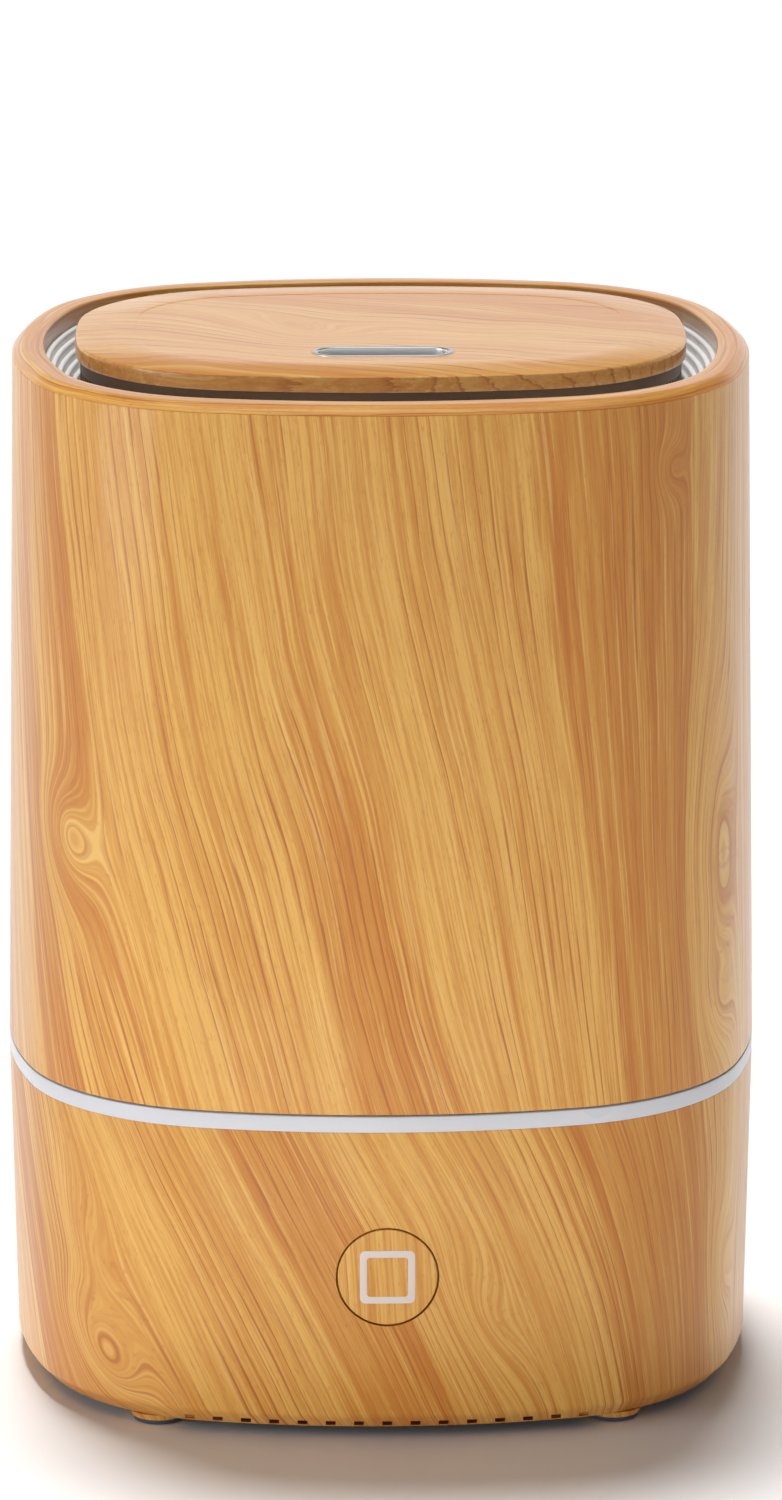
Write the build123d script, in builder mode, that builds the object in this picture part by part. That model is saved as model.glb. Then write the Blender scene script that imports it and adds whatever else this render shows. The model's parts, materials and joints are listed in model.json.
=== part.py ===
"""Cool mist humidifier: a base with the electronics, a lift-off water tank and a lift-off lid.

Millimetres, +Z up, front towards -Y.  The origin is on the table, under the middle of the body.
"""

import math
import os

from build123d import *

os.makedirs("parts", exist_ok=True)

# ---------------------------------------------------------------- driving dimensions

# Plan of the body at its widest, on the light ring: eight tangent arcs
half_width = 100.0
half_depth = 93.0
front_radius = 212.0
side_radius = 161.0
corner_radius = 61.0

# Plan of the lid
lid_half_width = 80.6
lid_half_depth = 62.9
lid_front_radius = 226.3
lid_side_radius = 210.7
lid_corner_radius = 47.1

# Heights above the table
foot_height = 3.0
base_top_z = 85.0
tank_wall_height = 183.95
ring_height = 4.3
parting_gap = 0.4

# Walls, tapers and edges
wall = 2.6
base_taper = 1.6
tank_taper = 2.7
base_edge = 4.2
rim_edge = 2.35
rim_flat = 6.0

# Clearances
slip = 0.2
free_gap = 0.4
screw_gap = 0.1
thread_gap = 0.05
running = 0.03

# How far outside a face the cuts through it start
cut_start = 1.0

# ---------------------------------------------------------------- plan outlines


def corner_centre(half_x, half_y, r_front, r_side, r_corner):
    """Centre of the front right corner arc, tangent inside the front and the side arc."""
    front_y = r_front - half_y
    side_x = half_x - r_side
    gap = math.hypot(side_x, front_y)
    reach_front = r_front - r_corner
    reach_side = r_side - r_corner
    along = (reach_front**2 - reach_side**2 + gap**2) / (2 * gap)
    across = math.sqrt(reach_front**2 - along**2)
    unit_x = side_x / gap
    unit_y = -front_y / gap
    return (along * unit_x - across * unit_y, front_y + along * unit_y + across * unit_x)


def plan_arcs(half_x, half_y, r_front, r_side, r_corner):
    """The eight arcs as (centre, radius, start angle, arc angle), counter-clockwise."""
    corner_x, corner_y = corner_centre(half_x, half_y, r_front, r_side, r_corner)
    front_y = r_front - half_y
    side_x = half_x - r_side
    front_end = math.degrees(math.atan2(corner_y - front_y, corner_x))
    side_start = math.degrees(math.atan2(corner_y, corner_x - side_x))
    turn = side_start - front_end
    return [
        ((0, front_y), r_front, -180 - front_end, 2 * front_end + 180),
        ((corner_x, corner_y), r_corner, front_end, turn),
        ((side_x, 0), r_side, side_start, -2 * side_start),
        ((corner_x, -corner_y), r_corner, -side_start, turn),
        ((0, -front_y), r_front, -front_end, 2 * front_end + 180),
        ((-corner_x, -corner_y), r_corner, 180 + front_end, turn),
        ((-side_x, 0), r_side, 180 + side_start, -2 * side_start),
        ((-corner_x, corner_y), r_corner, 180 - side_start, turn),
    ]


body_plan = plan_arcs(half_width, half_depth, front_radius, side_radius, corner_radius)
lid_plan = plan_arcs(
    lid_half_width, lid_half_depth, lid_front_radius, lid_side_radius, lid_corner_radius
)


def plan_face(z, inset, plan=body_plan):
    """The plan outline at height z, drawn parallel to its widest form."""
    with BuildSketch(Plane.XY.offset(z)) as section:
        with BuildLine():
            for centre, radius, start, turn in plan:
                CenterArc(centre, radius - inset, start, turn)
        make_face()
    return section.sketch


def plan_ring(z, outer_inset, inner_inset, plan=body_plan, inner_plan=None):
    """A flat ring at height z between two parallel outlines."""
    with BuildSketch(Plane.XY.offset(z)) as section:
        add(plan_face(0, outer_inset, plan))
        add(plan_face(0, inner_inset, inner_plan or plan), mode=Mode.SUBTRACT)
    return section.sketch


def band(z_low, inset_low, z_high, inset_high, mode=Mode.ADD, plan=body_plan):
    """Add or cut the solid between two outlines of the same plan, in the open part."""
    lower = plan_face(z_low, inset_low, plan)
    upper = plan_face(z_high, inset_high, plan)
    loft(sections=[lower, upper], ruled=True, mode=mode)


def front_y(x, inset):
    """Y of the front outline at x, for an outline drawn parallel inside the widest one."""
    radius = front_radius - inset
    return front_radius - half_depth - math.sqrt(radius**2 - x**2)


def save(part, name):
    """Label one finished piece and write its STEP file."""
    part.label = name
    export_step(part, "parts/" + name + ".step")
    print(name, round(part.volume, 1))


# ---------------------------------------------------------------- heights worked out from these

edge_top_z = foot_height + base_edge
ring_top_z = base_top_z + ring_height
tank_bottom_z = ring_top_z + parting_gap
tank_top_z = tank_bottom_z + tank_wall_height
rim_top_z = tank_top_z + rim_edge


def base_inset(z):
    """How far the base's outside has drawn in from its top edge, at height z."""
    return base_taper * (base_top_z - z) / (base_top_z - edge_top_z)


# ---------------------------------------------------------------- base: shell and underside

plate_thickness = 2.4
foot_land = 3.2
ledge_width = 3.0
ledge_thickness = 1.2
cavity_bend_height = 1.8

plate_inset = base_taper + base_edge + foot_land
ledge_inset = plate_inset + ledge_width
plate_top_z = foot_height + plate_thickness
ledge_top_z = plate_top_z + ledge_thickness
cavity_low_inset = base_taper + base_edge + slip
cavity_bend_z = edge_top_z + cavity_bend_height

vent_pitch = 7.4
vent_width = 2.6
vent_count = 17
vent_lift = 0.6
vent_height = 1.6
vent_length = 26.0
plate_vent_length = 42.0

led_ledge_z = 78.0
led_ledge_thickness = 1.2
led_ledge_inset = 6.0

button_z = 45.6
button_hole_radius = 13.5
collar_radius = 15.8
collar_wall = 2.0
collar_end = 8.6
collar_root = 2.4
board_depth = 13.0
boss_radius = 3.0
boss_hole_radius = 1.05
boss_spacing = 48.0
boss_root = 3.6

jack_z = 22.0
jack_radius = 5.5
jack_cut_depth = 8.0

plate_screw_radius = 1.3
plate_boss_radius = 3.5
plate_boss_height = 12.0
plate_boss_clear = 0.5
plate_boss_x = 42.0

plate_boss_inset = ledge_inset + plate_boss_clear
plate_boss_y = front_y(plate_boss_x, plate_boss_inset)
side_boss_x = half_width - plate_boss_inset - 2 * plate_boss_clear
plate_screws = [
    (plate_boss_x, plate_boss_y),
    (-plate_boss_x, plate_boss_y),
    (plate_boss_x, -plate_boss_y),
    (-plate_boss_x, -plate_boss_y),
    (side_boss_x, 0),
    (-side_boss_x, 0),
]

front_plane = Plane(origin=(0, -half_depth, button_z), x_dir=(1, 0, 0), z_dir=(0, -1, 0))
back_plane = Plane(origin=(0, half_depth, jack_z), x_dir=(-1, 0, 0), z_dir=(0, 1, 0))
vent_spots = [((i - (vent_count - 1) / 2) * vent_pitch, side * half_depth)
              for i in range(vent_count) for side in (-1, 1)]
wall_inside = wall + slip

with BuildPart() as base_shell:
    band(foot_height, base_taper + base_edge, edge_top_z, base_taper)
    band(edge_top_z, base_taper, base_top_z, 0)
    # Seat for the bottom plate, the ledge above it and the hollow inside
    extrude(plan_face(foot_height, plate_inset), amount=plate_thickness, mode=Mode.SUBTRACT)
    extrude(plan_face(plate_top_z, ledge_inset), amount=ledge_thickness, mode=Mode.SUBTRACT)
    band(ledge_top_z, cavity_low_inset, cavity_bend_z, base_taper + wall, Mode.SUBTRACT)
    band(cavity_bend_z, base_taper + wall, led_ledge_z, wall + slip, Mode.SUBTRACT)
    extrude(plan_face(led_ledge_z, led_ledge_inset), amount=led_ledge_thickness, mode=Mode.SUBTRACT)
    extrude(
        plan_face(led_ledge_z + led_ledge_thickness, wall_inside),
        amount=base_top_z - led_ledge_z,
        mode=Mode.SUBTRACT,
    )
    # Collar that guides the button, and two posts for the control board
    with BuildSketch(front_plane.offset(-collar_end)):
        Circle(collar_radius + collar_wall)
        Circle(collar_radius, mode=Mode.SUBTRACT)
    extrude(amount=collar_end - collar_root)
    with BuildSketch(front_plane.offset(-board_depth)):
        with GridLocations(boss_spacing, 1, 2, 1):
            Circle(boss_radius)
            Circle(boss_hole_radius, mode=Mode.SUBTRACT)
    extrude(amount=board_depth - boss_root)
    # Round hole for the button, and one at the back for the power socket
    with BuildSketch(front_plane.offset(cut_start)):
        Circle(button_hole_radius)
    extrude(amount=-collar_end, mode=Mode.SUBTRACT)
    with BuildSketch(back_plane.offset(cut_start)):
        Circle(jack_radius + slip)
    extrude(amount=-jack_cut_depth, mode=Mode.SUBTRACT)
    # Screw posts above the bottom plate
    with BuildSketch(Plane.XY.offset(plate_top_z)):
        with Locations(*plate_screws):
            Circle(plate_boss_radius)
    extrude(amount=plate_boss_height)
    with BuildSketch(Plane.XY.offset(plate_top_z)):
        with Locations(*plate_screws):
            Circle(plate_screw_radius)
    extrude(amount=plate_boss_height, mode=Mode.SUBTRACT)
    # Vent slots that break out through the bottom chamfer, front and back
    with BuildSketch(Plane.XY.offset(foot_height + vent_lift)):
        with Locations(*vent_spots):
            Rectangle(vent_width, vent_length)
    extrude(amount=vent_height, mode=Mode.SUBTRACT)
save(base_shell.part, "base_shell")

foot_edge_x = 40.0
foot_edge_y = 24.0
foot_x = half_width - foot_edge_x
foot_y = half_depth - foot_edge_y
foot_sole_radius = 7.2
foot_flare = 22.0
pad_radius = 6.6
pad_thickness = 1.2
foot_spots = [(foot_x, foot_y), (-foot_x, foot_y), (foot_x, -foot_y), (-foot_x, -foot_y)]
screw_head_radius = 2.5
screw_head_height = 1.4
screw_reach = 9.0

with BuildPart() as bottom_plate:
    extrude(plan_face(foot_height, plate_inset + slip), amount=plate_thickness)
    with BuildSketch(Plane.XY.offset(foot_height)):
        with Locations(*vent_spots):
            Rectangle(vent_width, plate_vent_length)
        with Locations(*plate_screws):
            Circle(plate_screw_radius + slip)
    extrude(amount=plate_thickness, mode=Mode.SUBTRACT)
    with BuildSketch(Plane.XY.offset(foot_height)):
        with Locations(*plate_screws):
            Circle(screw_head_radius + slip)
    extrude(amount=screw_head_height, mode=Mode.SUBTRACT)
save(bottom_plate.part, "bottom_plate")

with BuildPart() as plate_screw_set:
    with BuildSketch(Plane.XY.offset(foot_height)):
        with Locations(*plate_screws):
            Circle(screw_head_radius)
    extrude(amount=screw_head_height)
    with BuildSketch(Plane.XY.offset(foot_height + screw_head_height)):
        with Locations(*plate_screws):
            Circle(plate_screw_radius)
    extrude(amount=plate_thickness - screw_head_height + screw_reach)
save(plate_screw_set.part, "bottom_plate_screws")

with BuildPart() as feet:
    with BuildSketch(Plane.XY.offset(pad_thickness)):
        with Locations(*foot_spots):
            Circle(foot_sole_radius)
    extrude(amount=foot_height - pad_thickness, taper=-foot_flare)
save(feet.part, "feet")

with BuildPart() as foot_pads:
    with BuildSketch():
        with Locations(*foot_spots):
            Circle(pad_radius)
    extrude(amount=pad_thickness)
save(foot_pads.part, "foot_pads")

# ---------------------------------------------------------------- base: light ring and its lamps

ring_width = 4.0
ring_foot_inset = wall_inside + slip
ring_foot_height = 2.8
led_board_thickness = 1.2
led_board_inner = 10.0
led_count = 24
led_size = 1.6
led_height = 0.8

led_board_z = led_ledge_z + led_ledge_thickness
led_top_z = led_board_z + led_board_thickness

with BuildPart() as light_ring:
    extrude(plan_ring(base_top_z, 0, ring_width), amount=ring_height)
    ring_foot = plan_ring(base_top_z - ring_foot_height, ring_foot_inset, ring_width)
    extrude(ring_foot, amount=ring_foot_height)
save(light_ring.part, "light_ring")

with BuildPart() as led_board:
    board_ring = plan_ring(led_board_z, wall_inside + slip, led_board_inner)
    extrude(board_ring, amount=led_board_thickness)
save(led_board.part, "led_board")

with BuildSketch() as led_line:
    add(plan_face(0, ring_foot_inset + led_size))
led_path = led_line.sketch.faces()[0].outer_wire()

with BuildPart() as led_chips:
    with BuildSketch(Plane.XY.offset(led_top_z)):
        with Locations(*[led_path @ (i / led_count) for i in range(led_count)]):
            Rectangle(led_size, led_size)
    extrude(amount=led_height)
save(led_chips.part, "led_chips")

# ---------------------------------------------------------------- base: water tray

tray_gap = 0.3
tray_plate_z = 86.2
tray_plate_thickness = 2.4
tray_skirt_inset = 6.4
tray_skirt_width = 2.2
seat_inset = 4.4
seat_width = 2.2
seat_height = 3.4
basin_width = 128.0
basin_depth = 100.0
basin_centre_y = -16.0
basin_corner = 20.0
basin_floor_z = 52.0
basin_floor_thickness = 2.4
basin_wall = 2.2

mist_x = 0.0
mist_y = -34.6
transducer_radius = 10.0
transducer_hole_radius = 11.0
valve_x = 34.0
valve_y = 10.0
valve_post_radius = 4.0
float_x = -38.0
float_y = 8.0
float_post_radius = 3.0
fan_x = -26.0
fan_y = 60.0
port_width = 30.0
port_depth = 20.0
port_corner = 6.0
port_wall = 1.6
port_collar_height = 2.6

collar_width = port_width + 2 * port_wall
collar_depth = port_depth + 2 * port_wall
tray_inset = ring_width + tray_gap
tray_top_z = tray_plate_z + tray_plate_thickness
tank_rest_z = tray_top_z + seat_height
basin_bottom_z = basin_floor_z - basin_floor_thickness
basin_height = tray_top_z - basin_floor_z
valve_rest_z = 82.0
float_post_top_z = 82.0

with BuildPart() as water_tray:
    extrude(plan_face(tray_plate_z, tray_inset), amount=tray_plate_thickness)
    skirt = plan_ring(led_top_z, tray_skirt_inset, tray_skirt_inset + tray_skirt_width)
    extrude(skirt, amount=tray_plate_z - led_top_z)
    extrude(plan_ring(tray_top_z, seat_inset, seat_inset + seat_width), amount=seat_height)
    # Basin, open at the top
    with BuildSketch(Plane.XY.offset(basin_bottom_z)):
        with Locations((0, basin_centre_y)):
            RectangleRounded(
                basin_width + 2 * basin_wall, basin_depth + 2 * basin_wall, basin_corner + basin_wall
            )
    extrude(amount=tray_plate_z - basin_bottom_z)
    with BuildSketch(Plane.XY.offset(basin_floor_z)):
        with Locations((0, basin_centre_y)):
            RectangleRounded(basin_width, basin_depth, basin_corner)
    extrude(amount=basin_height, mode=Mode.SUBTRACT)
    # Post that opens the tank valve
    with BuildSketch(Plane.XY.offset(basin_floor_z)):
        with Locations((valve_x, valve_y)):
            Circle(valve_post_radius)
    extrude(amount=valve_rest_z - basin_floor_z)
    # Hole over the mist disc
    with BuildSketch(Plane.XY.offset(basin_bottom_z)):
        with Locations((mist_x, mist_y)):
            Circle(transducer_hole_radius)
    extrude(amount=basin_floor_thickness, mode=Mode.SUBTRACT)
    # Air port with its collar
    with BuildSketch(Plane.XY.offset(tray_plate_z)):
        with Locations((fan_x, fan_y)):
            RectangleRounded(collar_width, collar_depth, port_corner + port_wall)
    extrude(amount=tray_plate_thickness + port_collar_height)
    with BuildSketch(Plane.XY.offset(tray_plate_z)):
        with Locations((fan_x, fan_y)):
            RectangleRounded(port_width, port_depth, port_corner)
    extrude(amount=tray_plate_thickness + port_collar_height, mode=Mode.SUBTRACT)
save(water_tray.part, "water_tray")

# ---------------------------------------------------------------- base: mist disc and its driver

seal_radius = 13.0
seal_thickness = 2.4
disc_thickness = 1.2
seal_lip = 1.5
clamp_radius = 17.0
clamp_lip = 2.5
clamp_thickness = 2.0
clamp_screw_pitch_radius = 14.5
clamp_screw_radius = 1.0
clamp_head_radius = 1.9
clamp_head_height = 1.2
driver_size_x = 60.0
driver_size_y = 44.0
driver_z = 16.0
driver_post_x = 26.0
driver_post_y = 18.0
circuit_thickness = 1.6
circuit_corner = 2.0
standoff_radius = 2.8
standoff_hole_radius = 1.05
sink_width = 34.0
sink_depth = 18.0
sink_height = 14.0
sink_base = 2.0
sink_offset_y = 8.0
fin_count = 6
fin_thickness = 1.4
inductor_radius = 4.0
inductor_height = 9.0
inductor_offset_x = 16.0
driver_row_y = -12.0
chip_width = 12.0
chip_depth = 9.0
chip_height = 7.0

mist_spot = (mist_x, mist_y)
seal_z = basin_bottom_z - seal_thickness
disc_z = seal_z + (seal_thickness - disc_thickness) / 2
clamp_z = seal_z - clamp_thickness

with BuildPart() as mist_disc:
    with BuildSketch(Plane.XY.offset(disc_z)):
        with Locations(mist_spot):
            Circle(transducer_radius)
    extrude(amount=disc_thickness)
save(mist_disc.part, "mist_disc")

with BuildPart() as disc_seal:
    with BuildSketch(Plane.XY.offset(seal_z)):
        with Locations(mist_spot):
            Circle(seal_radius)
            Circle(transducer_radius - seal_lip, mode=Mode.SUBTRACT)
    extrude(amount=seal_thickness)
    with BuildSketch(Plane.XY.offset(disc_z)):
        with Locations(mist_spot):
            Circle(transducer_radius)
    extrude(amount=disc_thickness, mode=Mode.SUBTRACT)
save(disc_seal.part, "disc_seal")

clamp_screw_spots = PolarLocations(clamp_screw_pitch_radius, 3, 90)

with BuildPart() as disc_clamp:
    with BuildSketch(Plane.XY.offset(clamp_z)):
        with Locations(mist_spot):
            Circle(clamp_radius)
            Circle(transducer_radius - clamp_lip, mode=Mode.SUBTRACT)
            with clamp_screw_spots:
                Circle(clamp_screw_radius + screw_gap, mode=Mode.SUBTRACT)
    extrude(amount=clamp_thickness)
    # Rim that centres the seal
    with BuildSketch(Plane.XY.offset(seal_z)):
        with Locations(mist_spot):
            Circle(clamp_radius)
            Circle(seal_radius, mode=Mode.SUBTRACT)
            with clamp_screw_spots:
                Circle(clamp_screw_radius + screw_gap, mode=Mode.SUBTRACT)
    extrude(amount=seal_thickness)
save(disc_clamp.part, "disc_clamp")

with BuildPart() as disc_screws:
    with BuildSketch(Plane.XY.offset(clamp_z - clamp_head_height)):
        with Locations(mist_spot):
            with clamp_screw_spots:
                Circle(clamp_head_radius)
    extrude(amount=clamp_head_height)
    with BuildSketch(Plane.XY.offset(clamp_z)):
        with Locations(mist_spot):
            with clamp_screw_spots:
                Circle(clamp_screw_radius)
    extrude(amount=clamp_thickness + seal_thickness)
save(disc_screws.part, "disc_clamp_screws")

corners = [(-1, -1), (-1, 1), (1, -1), (1, 1)]
driver_posts = [(mist_x + i * driver_post_x, mist_y + j * driver_post_y) for i, j in corners]
driver_top_z = driver_z + circuit_thickness

with BuildPart() as driver_board:
    with BuildSketch(Plane.XY.offset(driver_z)):
        with Locations(mist_spot):
            RectangleRounded(driver_size_x, driver_size_y, circuit_corner)
        with Locations(*driver_posts):
            Circle(standoff_hole_radius + screw_gap, mode=Mode.SUBTRACT)
    extrude(amount=circuit_thickness)
save(driver_board.part, "driver_board")

with BuildPart() as heat_sink:
    with BuildSketch(Plane.XY.offset(driver_top_z)):
        with Locations((mist_x, mist_y + sink_offset_y)):
            Rectangle(sink_width, sink_depth)
    extrude(amount=sink_base)
    with BuildSketch(Plane.XY.offset(driver_top_z + sink_base)):
        with Locations((mist_x, mist_y + sink_offset_y)):
            with GridLocations((sink_width - fin_thickness) / (fin_count - 1), 1, fin_count, 1):
                Rectangle(fin_thickness, sink_depth)
    extrude(amount=sink_height - sink_base)
save(heat_sink.part, "heat_sink")

with BuildPart() as driver_coils:
    with BuildSketch(Plane.XY.offset(driver_top_z)):
        with Locations((mist_x, mist_y + driver_row_y)):
            with GridLocations(2 * inductor_offset_x, 1, 2, 1):
                Circle(inductor_radius)
    extrude(amount=inductor_height)
    with BuildSketch(Plane.XY.offset(driver_top_z)):
        with Locations((mist_x, mist_y + driver_row_y)):
            Rectangle(chip_width, chip_depth)
    extrude(amount=chip_height)
save(driver_coils.part, "driver_components")

# ---------------------------------------------------------------- base: power board and socket

power_x = 34.0
power_y = 44.0
power_size_x = 64.0
power_size_y = 40.0
power_post_x = 28.0
power_post_y = 16.0
capacitor_radius = 4.5
capacitor_height = 12.0
capacitor_spots = [(-18.0, -6.0), (-6.0, -6.0)]
transformer_width = 16.0
transformer_depth = 14.0
transformer_height = 10.0
transformer_offset_x = 14.0
board_head_radius = 2.0
board_head_height = 1.3
board_screw_reach = 6.0

power_posts = [(power_x + i * power_post_x, power_y + j * power_post_y) for i, j in corners]
board_posts = driver_posts + power_posts

with BuildPart() as power_board:
    with BuildSketch(Plane.XY.offset(driver_z)):
        with Locations((power_x, power_y)):
            RectangleRounded(power_size_x, power_size_y, circuit_corner)
        with Locations(*power_posts):
            Circle(standoff_hole_radius + screw_gap, mode=Mode.SUBTRACT)
    extrude(amount=circuit_thickness)
save(power_board.part, "power_board")

with BuildPart() as power_parts:
    with BuildSketch(Plane.XY.offset(driver_top_z)):
        with Locations((power_x, power_y)):
            with Locations(*capacitor_spots):
                Circle(capacitor_radius)
    extrude(amount=capacitor_height)
    with BuildSketch(Plane.XY.offset(driver_top_z)):
        with Locations((power_x + transformer_offset_x, power_y)):
            Rectangle(transformer_width, transformer_depth)
    extrude(amount=transformer_height)
save(power_parts.part, "power_components")

with BuildPart() as board_standoffs:
    with BuildSketch(Plane.XY.offset(plate_top_z)):
        with Locations(*board_posts):
            Circle(standoff_radius)
            Circle(standoff_hole_radius, mode=Mode.SUBTRACT)
    extrude(amount=driver_z - plate_top_z)
save(board_standoffs.part, "board_standoffs")

with BuildPart() as board_screws:
    with BuildSketch(Plane.XY.offset(driver_top_z)):
        with Locations(*board_posts):
            Circle(board_head_radius)
    extrude(amount=board_head_height)
    with BuildSketch(Plane.XY.offset(driver_top_z)):
        with Locations(*board_posts):
            Circle(standoff_hole_radius - thread_gap)
    extrude(amount=-board_screw_reach)
save(board_screws.part, "board_screws")

jack_face_depth = 1.6
jack_length = 15.0
jack_bore_radius = 3.2
jack_bore_length = 9.5
jack_pin_radius = 1.0
jack_pin_length = 8.5
jack_flange_radius = 8.0
jack_flange_depth = 4.9
jack_flange_thickness = 1.8

with BuildPart() as power_socket:
    with BuildSketch(back_plane.offset(-jack_face_depth)):
        Circle(jack_radius)
    extrude(amount=-jack_length)
    with BuildSketch(back_plane.offset(-jack_flange_depth)):
        Circle(jack_flange_radius)
    extrude(amount=-jack_flange_thickness)
    with BuildSketch(back_plane.offset(-jack_face_depth)):
        Circle(jack_bore_radius)
    extrude(amount=-jack_bore_length, mode=Mode.SUBTRACT)
save(power_socket.part, "power_socket")

with BuildPart() as socket_pin:
    with BuildSketch(back_plane.offset(-jack_face_depth - jack_bore_length)):
        Circle(jack_pin_radius)
    extrude(amount=jack_pin_length)
save(socket_pin.part, "socket_pin")

# ---------------------------------------------------------------- base: control board and button

tact_size = 6.0
tact_depth = 3.5
plunger_radius = 1.7
plunger_out = 1.4
plunger_in = 1.3
plunger_well = 2.8
control_width = 60.0
control_height = 26.0
retainer_thickness = 1.2
retainer_hole_radius = 5.4
button_flange_radius = 15.2
button_flange_front = 4.6
button_flange_thickness = 1.6
button_stem_radius = 2.6
button_rim_gap = 0.45
mark_size = 14.4
mark_stroke = 1.85
mark_corner = 1.5
mark_depth = 0.4

button_radius = button_hole_radius - button_rim_gap
button_flange_back = button_flange_front + button_flange_thickness
mark_inner = mark_size - 2 * mark_stroke
mark_cut_depth = cut_start + base_inset(button_z) + mark_depth
switch_front_depth = board_depth - tact_depth
plunger_tip_depth = switch_front_depth - plunger_out


def mark_ring():
    """The rounded square outline of the mark, just in front of the button's face."""
    with BuildSketch(front_plane.offset(cut_start)) as section:
        RectangleRounded(mark_size, mark_size, mark_corner)
        RectangleRounded(mark_inner, mark_inner, mark_corner / 2, mode=Mode.SUBTRACT)
    return section.sketch


with BuildPart() as button_retainer:
    with BuildSketch(front_plane.offset(-collar_end)):
        Circle(collar_radius + collar_wall)
        Circle(retainer_hole_radius, mode=Mode.SUBTRACT)
    extrude(amount=-retainer_thickness)
save(button_retainer.part, "button_retainer")

with BuildPart() as control_board:
    with BuildSketch(front_plane.offset(-board_depth)):
        RectangleRounded(control_width, control_height, circuit_corner)
        with GridLocations(boss_spacing, 1, 2, 1):
            Circle(boss_hole_radius + screw_gap, mode=Mode.SUBTRACT)
    extrude(amount=-circuit_thickness)
save(control_board.part, "control_board")

with BuildPart() as control_screws:
    with BuildSketch(front_plane.offset(-board_depth - circuit_thickness)):
        with GridLocations(boss_spacing, 1, 2, 1):
            Circle(board_head_radius)
    extrude(amount=-board_head_height)
    with BuildSketch(front_plane.offset(-board_depth - circuit_thickness)):
        with GridLocations(boss_spacing, 1, 2, 1):
            Circle(boss_hole_radius - thread_gap)
    extrude(amount=board_screw_reach)
save(control_screws.part, "control_board_screws")

with BuildPart() as tact_switch:
    with BuildSketch(front_plane.offset(-board_depth)):
        Rectangle(tact_size, tact_size)
    extrude(amount=tact_depth)
    with BuildSketch(front_plane.offset(-switch_front_depth)):
        Circle(plunger_radius + screw_gap)
    extrude(amount=-plunger_well, mode=Mode.SUBTRACT)
save(tact_switch.part, "tact_switch")

with BuildPart() as switch_plunger:
    with BuildSketch(front_plane.offset(-plunger_tip_depth)):
        Circle(plunger_radius)
    extrude(amount=-plunger_out - plunger_in)
save(switch_plunger.part, "switch_plunger")

with BuildPart() as power_button:
    # The face follows the shell's own outside, so it is flush all round
    band(foot_height, base_taper + base_edge, edge_top_z, base_taper)
    band(edge_top_z, base_taper, base_top_z, 0)
    with BuildSketch(front_plane.offset(cut_start)):
        Circle(button_radius)
    extrude(amount=-button_flange_front - cut_start, mode=Mode.INTERSECT)
    with BuildSketch(front_plane.offset(-button_flange_front)):
        Circle(button_flange_radius)
    extrude(amount=-button_flange_thickness)
    with BuildSketch(front_plane.offset(-button_flange_back)):
        Circle(button_stem_radius)
    extrude(amount=button_flange_back - plunger_tip_depth)
    extrude(mark_ring(), amount=-mark_cut_depth, mode=Mode.SUBTRACT)
save(power_button.part, "power_button")

with BuildPart() as button_mark:
    band(foot_height, base_taper + base_edge, edge_top_z, base_taper)
    band(edge_top_z, base_taper, base_top_z, 0)
    extrude(mark_ring(), amount=-mark_cut_depth, mode=Mode.INTERSECT)
save(button_mark.part, "button_mark")

# ---------------------------------------------------------------- base: fan and its duct

fan_size = 40.0
fan_height = 15.0
fan_top_z = 62.0
fan_corner = 3.0
fan_bore_radius = 18.6
fan_hub_radius = 8.5
fan_plate = 2.0
fan_hole_pitch = 32.0
fan_hole_radius = 1.6
strut_centre_radius = 14.0
strut_length = 11.6
strut_width = 2.4
bearing_post_radius = 4.0
bearing_post_height = 7.0
bearing_start = 0.8
bearing_length = 8.2
rotor_gap = 0.8
rotor_roof = 1.4
rotor_wall = 1.2
blade_count = 7
blade_tip_radius = 17.6
blade_pitch = 38.0
blade_length = 12.0
blade_chord = 11.0
blade_thickness = 1.2
blade_centre_radius = 13.0
fan_shaft_radius = 1.0
fan_shaft_start = 1.0
fan_bearing_radius = 2.0
magnet_start = 1.2
magnet_height = 7.0
coil_radius = 5.8
coil_start = 1.0
coil_height = 5.0
duct_wall = 1.6
duct_corner = 9.0
duct_margin = 3.0

fan_spot = (fan_x, fan_y)
fan_z = fan_top_z - fan_height
fan_plate_z = fan_z + fan_plate
rotor_z = fan_plate_z + rotor_gap
rotor_height = fan_height - fan_plate - 2 * rotor_gap
rotor_mid_z = rotor_z + rotor_height / 2
rotor_outer_radius = fan_hub_radius + slip
rotor_inner_radius = rotor_outer_radius - rotor_wall

with BuildPart() as fan_frame:
    with BuildSketch(Plane.XY.offset(fan_z)):
        with Locations(fan_spot):
            RectangleRounded(fan_size, fan_size, fan_corner)
            Circle(fan_bore_radius, mode=Mode.SUBTRACT)
            with GridLocations(fan_hole_pitch, fan_hole_pitch, 2, 2):
                Circle(fan_hole_radius, mode=Mode.SUBTRACT)
    extrude(amount=fan_height)
    with BuildSketch(Plane.XY.offset(fan_z)):
        with Locations(fan_spot):
            Circle(fan_hub_radius)
            with PolarLocations(strut_centre_radius, 3, 30):
                Rectangle(strut_length, strut_width)
            Circle(fan_bearing_radius, mode=Mode.SUBTRACT)
    extrude(amount=fan_plate)
    with BuildSketch(Plane.XY.offset(fan_plate_z)):
        with Locations(fan_spot):
            Circle(bearing_post_radius)
            Circle(fan_bearing_radius, mode=Mode.SUBTRACT)
    extrude(amount=bearing_post_height)
save(fan_frame.part, "fan_frame")

with BuildPart() as fan_bearing:
    with BuildSketch(Plane.XY.offset(fan_z + bearing_start)):
        with Locations(fan_spot):
            Circle(fan_bearing_radius)
            Circle(fan_shaft_radius + running, mode=Mode.SUBTRACT)
    extrude(amount=bearing_length)
save(fan_bearing.part, "fan_bearing")

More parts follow.
